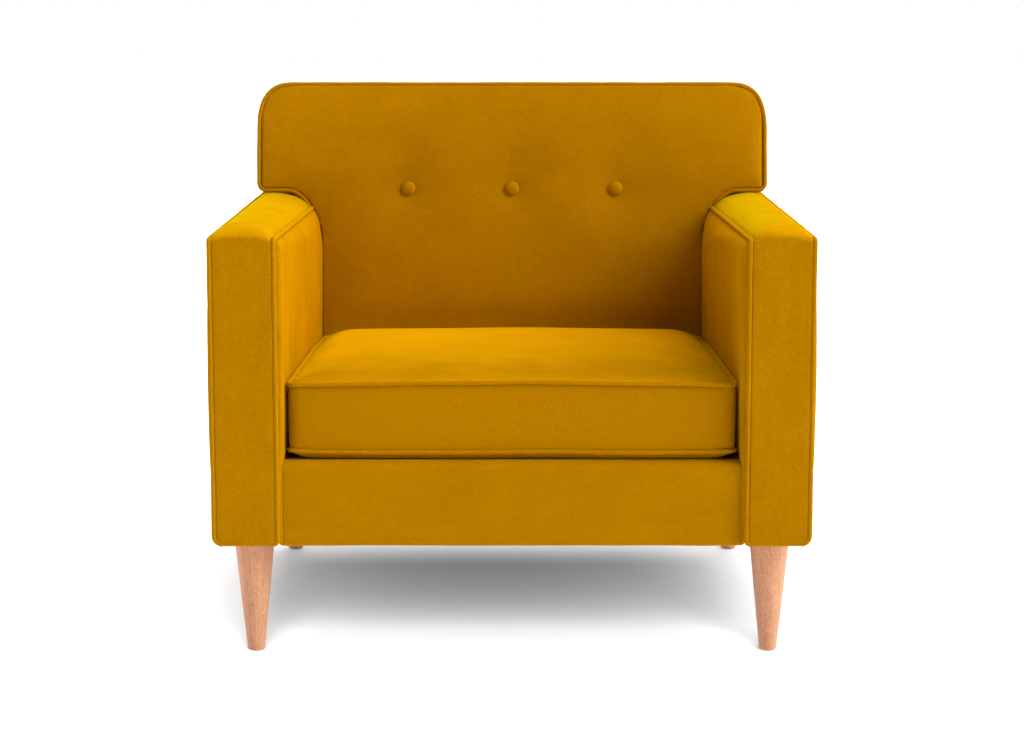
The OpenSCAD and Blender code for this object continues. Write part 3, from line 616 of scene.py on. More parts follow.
def woven(name, dark, light, scale):
    """Plain woven cloth or webbing, with about three threads in a metre for each unit of scale."""
    material, shader, place = blank_material(name, Roughness=0.9, Specular_IOR_Level=0.15)
    waves = []
    for turn in ((0, 0, 0), (0, 0, math.pi / 2)):
        wave = add_node(
            place.id_data, "ShaderNodeTexWave",
            {"Vector": mapped(place, turn=turn), "Scale": scale, "Distortion": 0.4, "Detail": 1.0},
        )
        waves.append(wave.outputs["Fac"])
    crossing = math_of("MULTIPLY", *waves)
    worn = noise_of(place, 25, detail=3)
    tone = weighted((crossing, 0.9), (worn, 0.5))
    colour = mixed(tone, dark, light)
    return dressed(material, shader, colour, crossing, 0.4 * MM, 0.6)


def foam(name):
    """Open-celled upholstery foam."""
    material, shader, place = blank_material(name, Roughness=0.95, Specular_IOR_Level=0.1)
    voronoi = add_node(place.id_data, "ShaderNodeTexVoronoi", {"Vector": place, "Scale": 700})
    cells = voronoi.outputs["Distance"]
    aged = noise_of(place, 8, detail=3)
    tone = weighted((cells, 0.6), (aged, 0.6))
    colour = mixed(tone, (0.62, 0.52, 0.33), (0.86, 0.80, 0.62))
    return dressed(material, shader, colour, cells, 0.6 * MM, 0.6)


def moulded(name, colour, roughness=0.45):
    """Moulded plastic."""
    material, shader, place = blank_material(name, Roughness=roughness, Specular_IOR_Level=0.4)
    grain = noise_of(place, 600)
    tone = weighted((grain, 0.8))
    shown = mixed(tone, tuple(c * 0.8 for c in colour), colour)
    return dressed(material, shader, shown, grain, 0.1 * MM, 0.4)


# ---------------------------------------------------------------- outlines


# Lengths up the face of the inside back end in S: its top and the lower edge of its ears
TOP_S = (TOP_Z - DECK_Z) / math.cos(RECLINE)
EAR_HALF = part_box("back_welt")[1].x
EAR_CORNER_R = 18 * MM
TOP_CORNER_W = 70 * MM
TOP_CORNER_RISE = 95 * MM
# Fullness of the upper corners, where 1 is an ellipse and less is squarer
TOP_CORNER_POWER = 0.72
NOTCH_W = 57 * MM
NOTCH_RISE = 112 * MM
# How far the back sinks into the padding of the arms, above and beside them
EAR_PRESS = 1 * MM
STEM_PRESS = 7 * MM
EAR_S = (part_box("left_arm_band")[1].z - EAR_PRESS - DECK_Z) / math.cos(RECLINE)
STEM_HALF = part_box("right_arm_inner_pad")[0].x + STEM_PRESS
# How far the foot of the stem stands above the deck
STEM_FOOT = 2 * MM


def back_outline(inset, steps=24):
    """The T-shaped outline of the inside back, drawn in by an inset, in the plane of its face."""
    half = [(STEM_HALF - inset, STEM_FOOT)]
    half += arc(
        STEM_HALF + NOTCH_W, EAR_S - NOTCH_RISE, NOTCH_W + inset, NOTCH_RISE + inset, 180, 90, steps
    )
    half += arc(
        EAR_HALF - EAR_CORNER_R, EAR_S + EAR_CORNER_R,
        EAR_CORNER_R - inset, EAR_CORNER_R - inset, -90, 0, steps // 2,
    )
    half += arc(
        EAR_HALF - TOP_CORNER_W, TOP_S - TOP_CORNER_RISE,
        TOP_CORNER_W - inset, TOP_CORNER_RISE - inset, 0, 90, 2 * steps, TOP_CORNER_POWER,
    )
    return half + mirrored(half)


def distance_to(points, line):
    """Distance of each 2-D point to the nearest point of a closed line."""
    even = resampled([(*p, 0) for p in line], 2 * MM, closed=True)[:, :2]
    nearest = np.full(len(points), np.inf)
    for spot in even:
        nearest = np.minimum(nearest, ((points[:, :2] - spot) ** 2).sum(axis=1))
    return np.sqrt(nearest)


def slab(line, place, depth):
    """A closed slab: a flat outline, laid out by place and drawn out by the vector depth."""
    bm = bmesh.new()
    loops = [
        [bm.verts.new(place @ Vector((*p, 0)) + share * depth) for p in line] for share in (0, 1)
    ]
    for loop in loops:
        bm.faces.new(loop)
    rims = [bm.edges.get(pair) for loop in loops for pair in zip(loop, loop[1:] + loop[:1])]
    bmesh.ops.bridge_loops(bm, edges=rims)
    bmesh.ops.recalc_face_normals(bm, faces=bm.faces)
    return bm


# ---------------------------------------------------------------- arms


ARM_TOP_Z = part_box("right_arm_welts")[1].z
ARM_BASE_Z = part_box("right_arm_band")[0].z
PIPING_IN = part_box("right_arm_welts")[0].x
PIPING_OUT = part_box("right_arm_welts")[1].x
ARM_MIDDLE = (PIPING_IN + PIPING_OUT) / 2
# Bends of the piping at the foot of an arm front, and how much wider than its radius the upper is
INNER_CORNER_R = 10 * MM
OUTER_CORNER_R = 17 * MM
UPPER_BEND = 1.2 * MM
# How far the finished covers hang below the solids of the frame
COVER_DROP = 3 * MM
# How far the side covers are drawn forward to their piping
FRONT_DRAW = 3 * MM
# Half of the space between the front and the top of an arm, which their piping and roundings fill
SEAM_SPACE = 1.5 * MM
# Rise of the cross seam in the middle of an arm front, and its fall from the top, with the lengths
# over which they die away
SEAM_ARCH = 4 * MM
SEAM_ARCH_RUN = 45 * MM
SEAM_FALL = 4 * MM
SEAM_FALL_RUN = 11 * MM
# The roll behind the seam: its height and the lengths over which it rises and dies away
SEAM_ROLL = 3 * MM
SEAM_ROLL_RISE = 7 * MM
SEAM_ROLL_RUN = 90 * MM
# Rounding of the outer panel at its lower edge
OUTER_CORNER_W = 12 * MM
OUTER_CORNER_H = 60 * MM
# How far the arm fronts lie behind the foremost line of their piping
BAND_RECESS = 0.8 * MM
# How far the outer edge of an arm front stands out from the frame's
EDGE_FLARE = 3.8 * MM
# Swell of the outer panel behind its piping, the share of it that is there at the piping, and the
# length over which the rest comes
OUTER_SWELL = 6.5 * MM
SWELL_AT_PIPING = 0.15
SWELL_RUN = 45 * MM
# Rounding of an outer panel behind its upper seam, and how far its face starts inside the piping
PANEL_SEAM = 2 * MM
PANEL_ROUND = 3 * MM
PANEL_INSET = 1 * MM
# How far the outer panel is drawn up under its piping
EDGE_LIFT = 4.5 * MM
# How much lower and further in the inner upper edge of an arm is at the rear of the seat
INNER_FALL = 8 * MM
INNER_TOE = 6 * MM
# Rounding of an inner pad behind its seams, and the space left free between pad and cushion
PAD_SEAM = 4 * MM
PAD_ROUND = 8 * MM
PAD_CLEARANCE = 1.2 * MM
# Gaps beside the cushion at the front and at the rear of the seat
CUSHION_GAP = 8.5 * MM
CUSHION_REAR_GAP = 1.0 * MM


def hung(points):
    """Lets the lower edge of a cover hang a little below the frame."""
    above = smooth_step(ARM_BASE_Z, ARM_BASE_Z + 25 * MM, points[:, 2])
    points[:, 2] -= COVER_DROP * (1 - above)


def drawn_forward(points):
    """Draws the front edge of a cover forward to its piping."""
    points[:, 1] -= FRONT_DRAW * (1 - smooth_step(0, 25 * MM, points[:, 1] - BODY_FRONT))


def corner_fall(z):
    """How far the outer panel turns in above its lower edge."""
    below = np.clip(1 - (z - ARM_BASE_Z) / OUTER_CORNER_H, 0, 1)
    return OUTER_CORNER_W * (1 - np.sqrt(1 - below**2))


def flared(points):
    """Draws the outer edge of an arm out."""
    outer = smooth_step(ARM_MIDDLE, PIPING_OUT - 6 * MM, np.abs(points[:, 0]))
    points[:, 0] += np.sign(points[:, 0]) * EDGE_FLARE * outer


def fallen(points):
    """Lets the inner upper edge of an arm fall and draw in towards the rear."""
    rearward = np.clip((points[:, 1] - BODY_FRONT) / SEAT_DEPTH, 0, 1.3)
    inner = 1 - smooth_step(PIPING_IN + 5 * MM, PIPING_OUT - 25 * MM, np.abs(points[:, 0]))
    upper = smooth_step(ARM_TOP_Z - 60 * MM, ARM_TOP_Z - 10 * MM, points[:, 2])
    points[:, 0] -= np.sign(points[:, 0]) * INNER_TOE * rearward * inner * upper
    points[:, 2] -= INNER_FALL * rearward * inner * upper


SIDES = ((-1, "left_arm_"), (1, "right_arm_"))


class ArmInnerPads(bpy.types.Operator):
    """Padded inner faces of the arms, drawn in to the piping along their upper and front edges."""

    bl_idname = "chair.arm_inner_pads"
    bl_label = "Arm inner pads"

    def execute(self, context):
        material = velvet(
            "velvet_arm_inside", (40, 75, 7), streaks=1.6, clouds=0.9, sheen_tint=(1, 0.45, 0, 1)
        )
        for side, arm in SIDES:
            node = arm + "inner_pad"
            obj = even_piece(node + "_cover", merged_copy(node), voxel=5 * MM, softening=4)
            points = points_of(obj.data)
            across, y, z = side * points[:, 0], points[:, 1], points[:, 2]
            share = np.clip((y - BODY_FRONT) / SEAT_DEPTH, 0, 1)
            gap = CUSHION_GAP + (CUSHION_REAR_GAP - CUSHION_GAP) * share - PAD_CLEARANCE
            rim = np.minimum(y - BODY_FRONT - PAD_SEAM, ARM_TOP_Z - PAD_SEAM - z)
            shoulder = 1 - np.exp(-np.maximum(rim, 0) / PAD_ROUND)
            face = 1 - smooth_step(PIPING_IN + 1 * MM, PIPING_IN + 7 * MM, across)
            points[:, 0] -= side * gap * shoulder * face
            drawn_forward(points)
            fallen(points)
            hung(points)
            set_points(obj.data, points)
            ripple(obj, context.scene.chair_fabric.ripple, size=90 * MM, seed=3 + side)
            finished(obj, "frame", material, [node])
        return {"FINISHED"}


class ArmOuterPanels(bpy.types.Operator):
    """Outer faces of the arms, stretched over thin padding so that they swell a little."""

    bl_idname = "chair.arm_outer_panels"
    bl_label = "Arm outer panels"

    def execute(self, context):
        material = velvet("velvet_arm_outside", (40, 70, 14), streaks=0.6, clouds=0.6)
        for side, arm in SIDES:
            node = arm + "outer_panel"
            obj = even_piece(node + "_cover", merged_copy(node), voxel=4 * MM, softening=2)
            points = points_of(obj.data)
            across, y, z = side * points[:, 0], points[:, 1], points[:, 2]
            rim = ARM_TOP_Z - PANEL_SEAM - z
            behind = smooth_step(0, SWELL_RUN, y - BODY_FRONT)
            full = OUTER_SWELL * (SWELL_AT_PIPING + (1 - SWELL_AT_PIPING) * behind)
            shoulder = 1 - np.exp(-np.maximum(rim, 0) / PANEL_ROUND)
            target = PIPING_OUT - PANEL_INSET + full * shoulder - corner_fall(z)
            face = smooth_step(PIPING_OUT - 10 * MM, PIPING_OUT - 3 * MM, across)
            points[:, 0] += side * face * np.maximum(target - across, 0)
            drawn_forward(points)
            points[:, 2] += EDGE_LIFT * smooth_step(ARM_TOP_Z - 30 * MM, ARM_TOP_Z - 8 * MM, z)
            hung(points)
            set_points(obj.data, points)
            ripple(obj, 0.8 * context.scene.chair_fabric.ripple, size=120 * MM, seed=11 + side)
            finished(obj, "frame", material, [node])
            obj.data.set_sharp_from_angle(angle=math.radians(32))
        return {"FINISHED"}


class ArmBands(bpy.types.Operator):
    """Front and crowned top of each arm, in two parts that meet in a seam at the front edge."""

    bl_idname = "chair.arm_bands"
    bl_label = "Arm bands"

    def execute(self, context):
        cloths = {
            "front": velvet("velvet_arm_front", (60, 60, 18), streaks=0.4, clouds=0.4),
            # The tops' velvet is painted lighter, with a yellower sheen tint: painted light for the
            # light that falls on the tops.
            "top": velvet(
                "velvet_arm_top", (14, 110, 40), streaks=1.2, clouds=0.8, painted_lift=1.15,
                sheen_tint=(1, 0.95, 0, 1),
            ),
        }
        corner = Vector((0, BODY_FRONT, ARM_TOP_Z - 1 * MM))
        half = ARM_MIDDLE - PIPING_IN - 1.6 * context.scene.chair_piping.radius
        for side, arm in SIDES:
            node = arm + "band"
            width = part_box(node)[1].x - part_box(node)[0].x
            for part, keep in (("front", 1), ("top", -1)):
                bm = merged_copy(node)
                cut = bmesh.ops.bisect_plane(
                    bm, geom=bm.verts[:] + bm.edges[:] + bm.faces[:],
                    plane_co=corner + SEAM_SPACE * Vector((0, keep, keep)),
                    plane_no=Vector((0, -keep, -keep)), clear_inner=True,
                )["geom_cut"]
                rim = [g for g in cut if isinstance(g, bmesh.types.BMEdge)]
                bmesh.ops.holes_fill(bm, edges=rim)
                obj = even_piece(f"{node}_{part}_cover", bm, voxel=4 * MM, softening=2)
                points = points_of(obj.data)
                across = (points[:, 0] - side * ARM_MIDDLE) / (width / 2)
                points[:, 0] = side * ARM_MIDDLE + across * half
                upper = smooth_step(ARM_TOP_Z - 60 * MM, ARM_TOP_Z, points[:, 2])
                behind = points[:, 1] - BODY_FRONT
                middle = 1 - np.clip(np.abs(across), 0, 1) ** 2
                arch = SEAM_ARCH * middle * np.exp(-behind / SEAM_ARCH_RUN)
                arch -= SEAM_FALL * np.exp(-behind / SEAM_FALL_RUN)
                if part == "top":
                    roll = 1 - np.exp(-behind / SEAM_ROLL_RISE)
                    arch += SEAM_ROLL * roll * np.exp(-behind / SEAM_ROLL_RUN)
                points[:, 2] += upper * arch
                points[:, 1] += BAND_RECESS * (1 - smooth_step(0, 20 * MM, behind))
                flared(points)
                fallen(points)
                hung(points)
                set_points(obj.data, points)
                ripple(obj, 0.7 * context.scene.chair_fabric.ripple, size=70 * MM, seed=21 + side)
                finished(obj, "frame", cloths[part], [node])
        return {"FINISHED"}


class ArmPiping(bpy.types.Operator):
    """Piping up the front of each arm, round its upper corner and back along its top."""

    bl_idname = "chair.arm_piping"
    bl_label = "Arm piping"

    def execute(self, context):
        r = context.scene.chair_piping.radius
        # The piping's velvet is painted a little lighter: painted light.
        material = velvet("velvet_piping", (90, 90, 90), streaks=0.3, clouds=0.3, painted_lift=1.04)
        bend = r + UPPER_BEND
        y = BODY_FRONT + r
        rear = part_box("right_arm_welts")[1].y
        inner_rear = FOOT_Y + (ARM_TOP_Z - DECK_Z) * math.tan(RECLINE)
        for side, arm in SIDES:
            lines = []
            for x, corner_r, turn, end in (
                (PIPING_IN + r, INNER_CORNER_R, 1, inner_rear),
                (PIPING_OUT - r, OUTER_CORNER_R, -1, rear),
            ):
                reach = corner_r - r
                under = [
                    (x + turn * (reach - px), y, ARM_BASE_Z - COVER_DROP + corner_r + pz)
                    for px, pz in arc(0, 0, reach, reach, -90, 0, 8)
                ]
                upper = [
                    (x, py, pz)
                    for py, pz in arc(y + bend, ARM_TOP_Z - r - bend, bend, bend, 180, 90, 6)
                ]
                line = under + upper + [(x, end, ARM_TOP_Z - r)]
                lines.append(([(side * px, py, pz) for px, py, pz in line], False))
            obj = piping_piece(arm + "piping", lines)
            points = points_of(obj.data)
            flared(points)
            fallen(points)
            set_points(obj.data, points)
            ripple(obj, PIPING_WOBBLE, size=45 * MM, seed=31 + side)
            finished(obj, "frame", material, [arm + "welts"])
        return {"FINISHED"}


class Apron(bpy.types.Operator):
    """Padded cover of the front rail below the cushion."""

    bl_idname = "chair.apron"
    bl_label = "Front rail cover"

    def execute(self, context):
        material = velvet("velvet_apron", (18, 60, 60), streaks=0.4, clouds=0.5)
        bm = merged_copy("front_rail_cover")
        obj = even_piece("front_rail_padding", bm, voxel=4 * MM, softening=2)
        points = points_of(obj.data)
        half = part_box("front_rail_cover")[1].x
        # Its ends are tucked in behind the arm fronts
        points[:, 0] *= (half + 3 * MM) / half
        hung(points)
        set_points(obj.data, points)
        swell(obj, 0.8 * MM)
        ripple(obj, context.scene.chair_fabric.ripple, size=90 * MM, seed=41)
        finished(obj, "frame", material, ["front_rail_cover"])
        return {"FINISHED"}


# ---------------------------------------------------------------- back


PAD_DEPTH = 40 * MM
# Radius of the buttons of the frame and of the finished ones, drawn together by their covers
BUTTON_R = 13.3 * MM
COVERED_BUTTON_R = 12.6 * MM
# How far a button stands out from the face of the back, and how far its lower side lies behind it
BUTTON_RISE = 5.2 * MM
BUTTON_SINK = 3.5 * MM
# Radius of the dimples round the buttons
DIMPLE_R = 24 * MM
# Thickness that the filling adds to the face, and the width over which it begins at the seam
BACK_FILL = 1 * MM
BACK_FILL_RUN = 20 * MM
# What keeps its place when the back is puffed: the edge at its seam, and a disc round each button
BACK_EDGE_HELD = 4 * MM
BUTTON_HELD_R = 15 * MM
# Share of the padding's swell that is left behind the cushion
SWELL_BEHIND_CUSHION = 0.1
# How far the outside back reaches over the rear edges of the outer arm panels
REAR_LAP = 9 * MM


def flat_on_face(point):
    """A point in the axes of the inside back: across, up along it and out towards the seat."""
    return FACE.inverted() @ point


def button_places():
    """Places of the buttons in the plane of the inside back."""
    low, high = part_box("back_buttons")
    pitch = high.x - BUTTON_R
    along = flat_on_face((low + high) / 2).y
    return [(k * pitch, along) for k in (-1, 0, 1)]


class BackPad(bpy.types.Operator):
    """T-shaped inside back, swelling between its seam and its three buttons."""

    bl_idname = "chair.back_pad"
    bl_label = "Inside back"

    def execute(self, context):
        settings = context.scene.chair_back
        seam = back_outline(1.5 * context.scene.chair_piping.radius)
        bm = slab(seam, FACE, Vector((0, PAD_DEPTH, 0)))
        obj = even_piece("inside_back", bm, settings.voxel, softening=2, turn=FACE)
        local = moved_by(points_of(obj.data), FACE.inverted())
        rim = distance_to(local, seam)
        to_button = np.min(
            [np.hypot(local[:, 0] - x, local[:, 1] - s) for x, s in button_places()], axis=0
        )
        front = local[:, 2] > -PAD_DEPTH / 2
        local[:, 2] -= front * settings.dimple * np.exp(-((to_button / DIMPLE_R) ** 2))
        height = local[:, 1] * math.cos(RECLINE) + DECK_Z
        above = smooth_step(CUSHION_TOP, CUSHION_TOP + 80 * MM, height)
        free = SWELL_BEHIND_CUSHION + (1 - SWELL_BEHIND_CUSHION) * above
        local[:, 2] += front * free * BACK_FILL * smooth_step(0, BACK_FILL_RUN, rim)
        set_points(obj.data, moved_by(local, FACE))
        held = ~front | (rim < BACK_EDGE_HELD) | (to_button < BUTTON_HELD_R)
        puffed(obj, held, pressure=4.0, cap=settings.puff * free)
        subdivided(obj)
        # The back's velvet is painted lighter: painted light for the brighter back.
        material = velvet("velvet_back", (22, 30, 22), streaks=0.4, clouds=0.4, painted_lift=1.09)
        finished(obj, "frame", material, ["back_pad"])
        return {"FINISHED"}


class Buttons(bpy.types.Operator):
    """Covered buttons, pulled into the inside back."""

    bl_idname = "chair.buttons"
    bl_label = "Buttons"

    def execute(self, context):
        # The buttons' velvet is painted a little lighter: painted light.
        material = velvet("velvet_button", (60, 60, 60), streaks=0.3, clouds=0.3, painted_lift=1.05)
        profile = [(0.0, BUTTON_RISE)]
        for degrees in range(12, 91, 6):
            a = math.radians(degrees)
            profile.append((COVERED_BUTTON_R * math.sin(a), BUTTON_RISE * math.cos(a)))
        profile += [
            (COVERED_BUTTON_R, -1 * MM), (COVERED_BUTTON_R - 1.5 * MM, -BUTTON_SINK),
            (0.0, -BUTTON_SINK),
        ]
        bm = bmesh.new()
        for x, s in button_places():
            turned_solid(bm, profile, x, s, steps=48)
        bm.transform(FACE)
        obj = object_of("covered_buttons", bm)
        finished(obj, "frame", material, ["back_buttons"])
        return {"FINISHED"}


class BackPiping(bpy.types.Operator):
    """Piping round the edge of the inside back."""

    bl_idname = "chair.back_piping"
    bl_label = "Back piping"

    def execute(self, context):
        r = context.scene.chair_piping.radius
        line = [FACE @ Vector((x, s, -r)) for x, s in back_outline(r)]
        obj = piping_piece("back_piping", [(line, True)])
        ripple(obj, PIPING_WOBBLE, size=50 * MM, seed=51)
        material = bpy.data.materials["velvet_piping"]
        finished(obj, "frame", material, ["back_welt"])
        return {"FINISHED"}


class BackBoxing(bpy.types.Operator):
    """Padded border round the back and the panel over its rear."""

    bl_idname = "chair.back_boxing"
    bl_label = "Back boxing and outside back"

    def execute(self, context):
        fabric = context.scene.chair_fabric
        side_cloth = velvet("velvet_boxing", (30, 60, 20), streaks=0.5, clouds=0.5)
        rear_cloth = velvet("velvet_outside_back", (22, 40, 14), streaks=0.6, clouds=0.5)
        bm = merged_copy("back_boxing")
        boxing = even_piece("back_border", bm, voxel=4 * MM, softening=3, turn=FACE)
        swell(boxing, 0.4 * MM)
        ripple(boxing, 0.6 * fabric.ripple, size=80 * MM, seed=61)
        finished(boxing, "frame", side_cloth, ["back_boxing"])
        bm = merged_copy("outside_back")
        turn = Matrix.Rotation(-REAR_LEAN, 4, "X")
        rear = even_piece("outside_back_panel", bm, voxel=4.5 * MM, softening=3, turn=turn)
        points = points_of(rear.data)
        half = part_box("outside_back")[1].x
        edge = smooth_step(half - 40 * MM, half, np.abs(points[:, 0]))
        edge *= 1 - smooth_step(ARM_TOP_Z - 6 * MM, ARM_TOP_Z + 3 * MM, points[:, 2])
        lap = REAR_LAP - corner_fall(points[:, 2])
        points[:, 0] += np.sign(points[:, 0]) * lap * edge
        hung(points)
        set_points(rear.data, points)
        ripple(rear, fabric.ripple, size=140 * MM, seed=63)
        finished(rear, "frame", rear_cloth, ["outside_back"])
        return {"FINISHED"}


# ---------------------------------------------------------------- seat cushion


CUSHION_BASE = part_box("cushion_welts")[0].z
CUSHION_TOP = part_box("cushion_welts")[1].z
CUSHION_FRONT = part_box("cushion_welts")[0].y
CUSHION_HALF = PIPING_IN - CUSHION_GAP
CUSHION_REAR_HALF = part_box("right_arm_inner_pad")[0].x - CUSHION_REAR_GAP
CUSHION_FRONT_R = 14 * MM
CUSHION_REAR_R = 15 * MM
CUSHION_BACK_GAP = 3 * MM
# How far in from the piping's centre the panels are sewn, as a share of its radius
SEAM_INSET = 0.8
# Height of the zone beside a seam that belongs to its panel
SEAM_ZONE = 3.5 * MM
# Dip of the upper panel along its seam, and how far the lower panel sags below its own, each with
# the width that it takes to come or go
SEAM_DIP = 2.5 * MM
SEAM_DIP_RUN = 5 * MM
UNDER_SAG = 7 * MM
UNDER_SAG_RUN = 35 * MM
# How much higher the lower seam lies at the front corners, and lower the upper one at the rear
FRONT_CORNER_RISE = 2.5 * MM
REAR_CORNER_FALL = 8 * MM
# Size of the waves along the seams: up and down, and in and out at the front
WAVE_UP = 0.5 * MM
WAVE_OUT = 0.8 * MM
# How far the lowest points stay above the deck
DECK_CLEARANCE = 0.4 * MM
# How far the lower panel, the border and the rear of the border may puff
UNDER_PUFF = 1.5 * MM
BORDER_PUFF = 1.2 * MM
REAR_PUFF = 0.6 * MM
# Width beside a seam that keeps its place when the cushion is puffed
CUSHION_EDGE_HELD = 5 * MM
# Groove of the zip: its depth, half of its width, and the width of its sloping sides
ZIP_GROOVE = 6 * MM
GROOVE_HALF = 15 * MM
GROOVE_SLOPE = 6 * MM


def cushion_outline(z, inset, steps=10):
    """Plan of the cushion at a height, drawn in by an inset."""
    rear = FOOT_Y + (z - DECK_Z) * math.tan(RECLINE) - CUSHION_BACK_GAP / math.cos(RECLINE)
    half = []
    for y, r, start in (
        (CUSHION_FRONT + CUSHION_FRONT_R, CUSHION_FRONT_R, -90),
        (rear - CUSHION_REAR_R, CUSHION_REAR_R, 0),
    ):
        share = (y - BODY_FRONT) / SEAT_DEPTH
        x = CUSHION_HALF + (CUSHION_REAR_HALF - CUSHION_HALF) * share - r
        half += arc(x, y, r - inset, r - inset, start, start + 90, steps)
    return half + mirrored(half)


def settled(points, arch):
    """Lets the cushion rise in its middle, sink at its rear corners and wave along its seams."""
    points = points.copy()
    x, y, z = points.T
    up = np.clip((z - CUSHION_BASE) / (CUSHION_TOP - CUSHION_BASE), 0, 1)
    out = np.abs(x) / CUSHION_HALF
    across = 1 - np.clip(out, 0, 1) ** 2.2
    front_corners = smooth_step(0.86, 1.0, out) * (1 - smooth_step(0, 0.12, y - CUSHION_FRONT))
    points[:, 2] += arch * up * across + FRONT_CORNER_RISE * (1 - up) * front_corners
    rear_corners = smooth_step(0.78, 1.0, out) * smooth_step(-0.2, 0, y - FOOT_Y)
    points[:, 2] -= REAR_CORNER_FALL * up * rear_corners
    wave = np.sin(x * 19 + 0.8) + 0.6 * np.sin(x * 31 - y * 9 + 2.0)
    points[:, 2] += WAVE_UP * wave * (1 - 0.5 * up)
    points[:, 1] += WAVE_OUT * np.sin(x * 14 + 1.3) * (1 - smooth_step(0, 0.2, y - CUSHION_FRONT))
    points[:, 2] = np.maximum(points[:, 2], DECK_Z + DECK_CLEARANCE)
    return points


def zip_groove(points):
    """Presses the rear border in where the zip lies."""
    low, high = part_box("cushion_zip")
    along = flat_on_face((low + high) / 2).y
    local = moved_by(points, FACE.inverted())
    off = np.abs(local[:, 1] - along) - GROOVE_HALF
    depth = ZIP_GROOVE * (1 - smooth_step(0, GROOVE_SLOPE, off))
    depth *= 1 - smooth_step(0, 8 * MM, np.abs(local[:, 0]) - high.x)
    depth *= local[:, 2] < 12 * MM
    return points + depth[:, None] * np.array(FACE.to_3x3())[:, 2]


class SeatCushion(bpy.types.Operator):
    """Loose seat cushion: two panels and a border, puffed up between their piping."""

    bl_idname = "chair.seat_cushion"
    bl_label = "Seat cushion"

    def execute(self, context):
        settings = context.scene.chair_cushion
        r = context.scene.chair_piping.radius
        inset = SEAM_INSET * r
        low, high = CUSHION_BASE + r, CUSHION_TOP - r
        bm = bmesh.new()
        rings = [
            [bm.verts.new((x, y, z)) for x, y in cushion_outline(z, inset)] for z in (low, high)
        ]
        rims = [bm.edges.new(pair) for ring in rings for pair in zip(ring, ring[1:] + ring[:1])]
        bmesh.ops.bridge_loops(bm, edges=rims)
        bmesh.ops.holes_fill(bm, edges=bm.edges[:])
        bmesh.ops.recalc_face_normals(bm, faces=bm.faces)
        obj = even_piece("seat_cushion", bm, settings.voxel, softening=1)
        points = points_of(obj.data)
        edge = distance_to(points, cushion_outline((low + high) / 2, inset))
        edge = np.minimum(edge, distance_to(points, cushion_outline(high, inset)))
        upper = points[:, 2] > high - SEAM_ZONE
        lower = points[:, 2] < low + SEAM_ZONE
        border = ~(upper | lower)
        inward = 1 - np.clip(edge / settings.shoulder, 0, 1)
        rise = np.sqrt(1 - inward**2)
        points[:, 2] += upper * (settings.crown * rise - SEAM_DIP * np.exp(-edge / SEAM_DIP_RUN))
        to_side = smooth_step(0, UNDER_SAG_RUN, CUSHION_HALF - np.abs(points[:, 0]))
        sag = low - CUSHION_BASE + UNDER_SAG * to_side
        points[:, 2] -= lower * sag * np.clip(4 * rise, 0, 1)
        set_points(obj.data, points)
        cap = np.where(upper, settings.puff, UNDER_PUFF)
        cap = np.where(border, BORDER_PUFF, cap)
        cap = np.where(border & (points[:, 1] > FOOT_Y - 30 * MM), REAR_PUFF, cap)
        puffed(obj, held=~border & (edge < CUSHION_EDGE_HELD), pressure=5.0, cap=cap)
        set_points(obj.data, zip_groove(settled(points_of(obj.data), settings.arch)))
        subdivided(obj)
        # Its top is painted lighter towards the rear: painted light standing in for the brighter
        # light there.
        material = velvet(
            "velvet_cushion", (12, 30, 30), streaks=1.0, clouds=1.0,
            above=CUSHION_TOP + 2 * MM, painted_rear_light=0.75,
        )
        finished(obj, "cushion", material, ["cushion_cover"])
        return {"FINISHED"}


class CushionPiping(bpy.types.Operator):
    """Piping along the upper and lower seams of the cushion."""

    bl_idname = "chair.cushion_piping"
    bl_label = "Cushion piping"

    def execute(self, context):
        r = context.scene.chair_piping.radius
        lines = [
            ([(x, y, z) for x, y in cushion_outline(z, r)], True)
            for z in (CUSHION_BASE + r, CUSHION_TOP - r)
        ]
        obj = piping_piece("cushion_piping", lines)
        set_points(obj.data, settled(points_of(obj.data), context.scene.chair_cushion.arch))
        ripple(obj, PIPING_WOBBLE, size=60 * MM, seed=71)
        material = bpy.data.materials["velvet_piping"]
        finished(obj, "cushion", material, ["cushion_welts"])
        return {"FINISHED"}


class CushionFilling(bpy.types.Operator):
    """Foam core inside the cushion."""

    bl_idname = "chair.cushion_filling"
    bl_label = "Cushion filling"

    def execute(self, context):
        bm = merged_copy("cushion_core")
        obj = even_piece("cushion_filling", bm, voxel=8 * MM, softening=2)
        finished(obj, "cushion", foam("cushion_foam"), ["cushion_core"])
        return {"FINISHED"}


def block(bm, size, place):
    """Adds a box of a size about a place."""
    verts = bmesh.ops.create_cube(bm, size=1)["verts"]
    bmesh.ops.scale(bm, verts=verts, vec=size)
    bmesh.ops.translate(bm, verts=verts, vec=place)


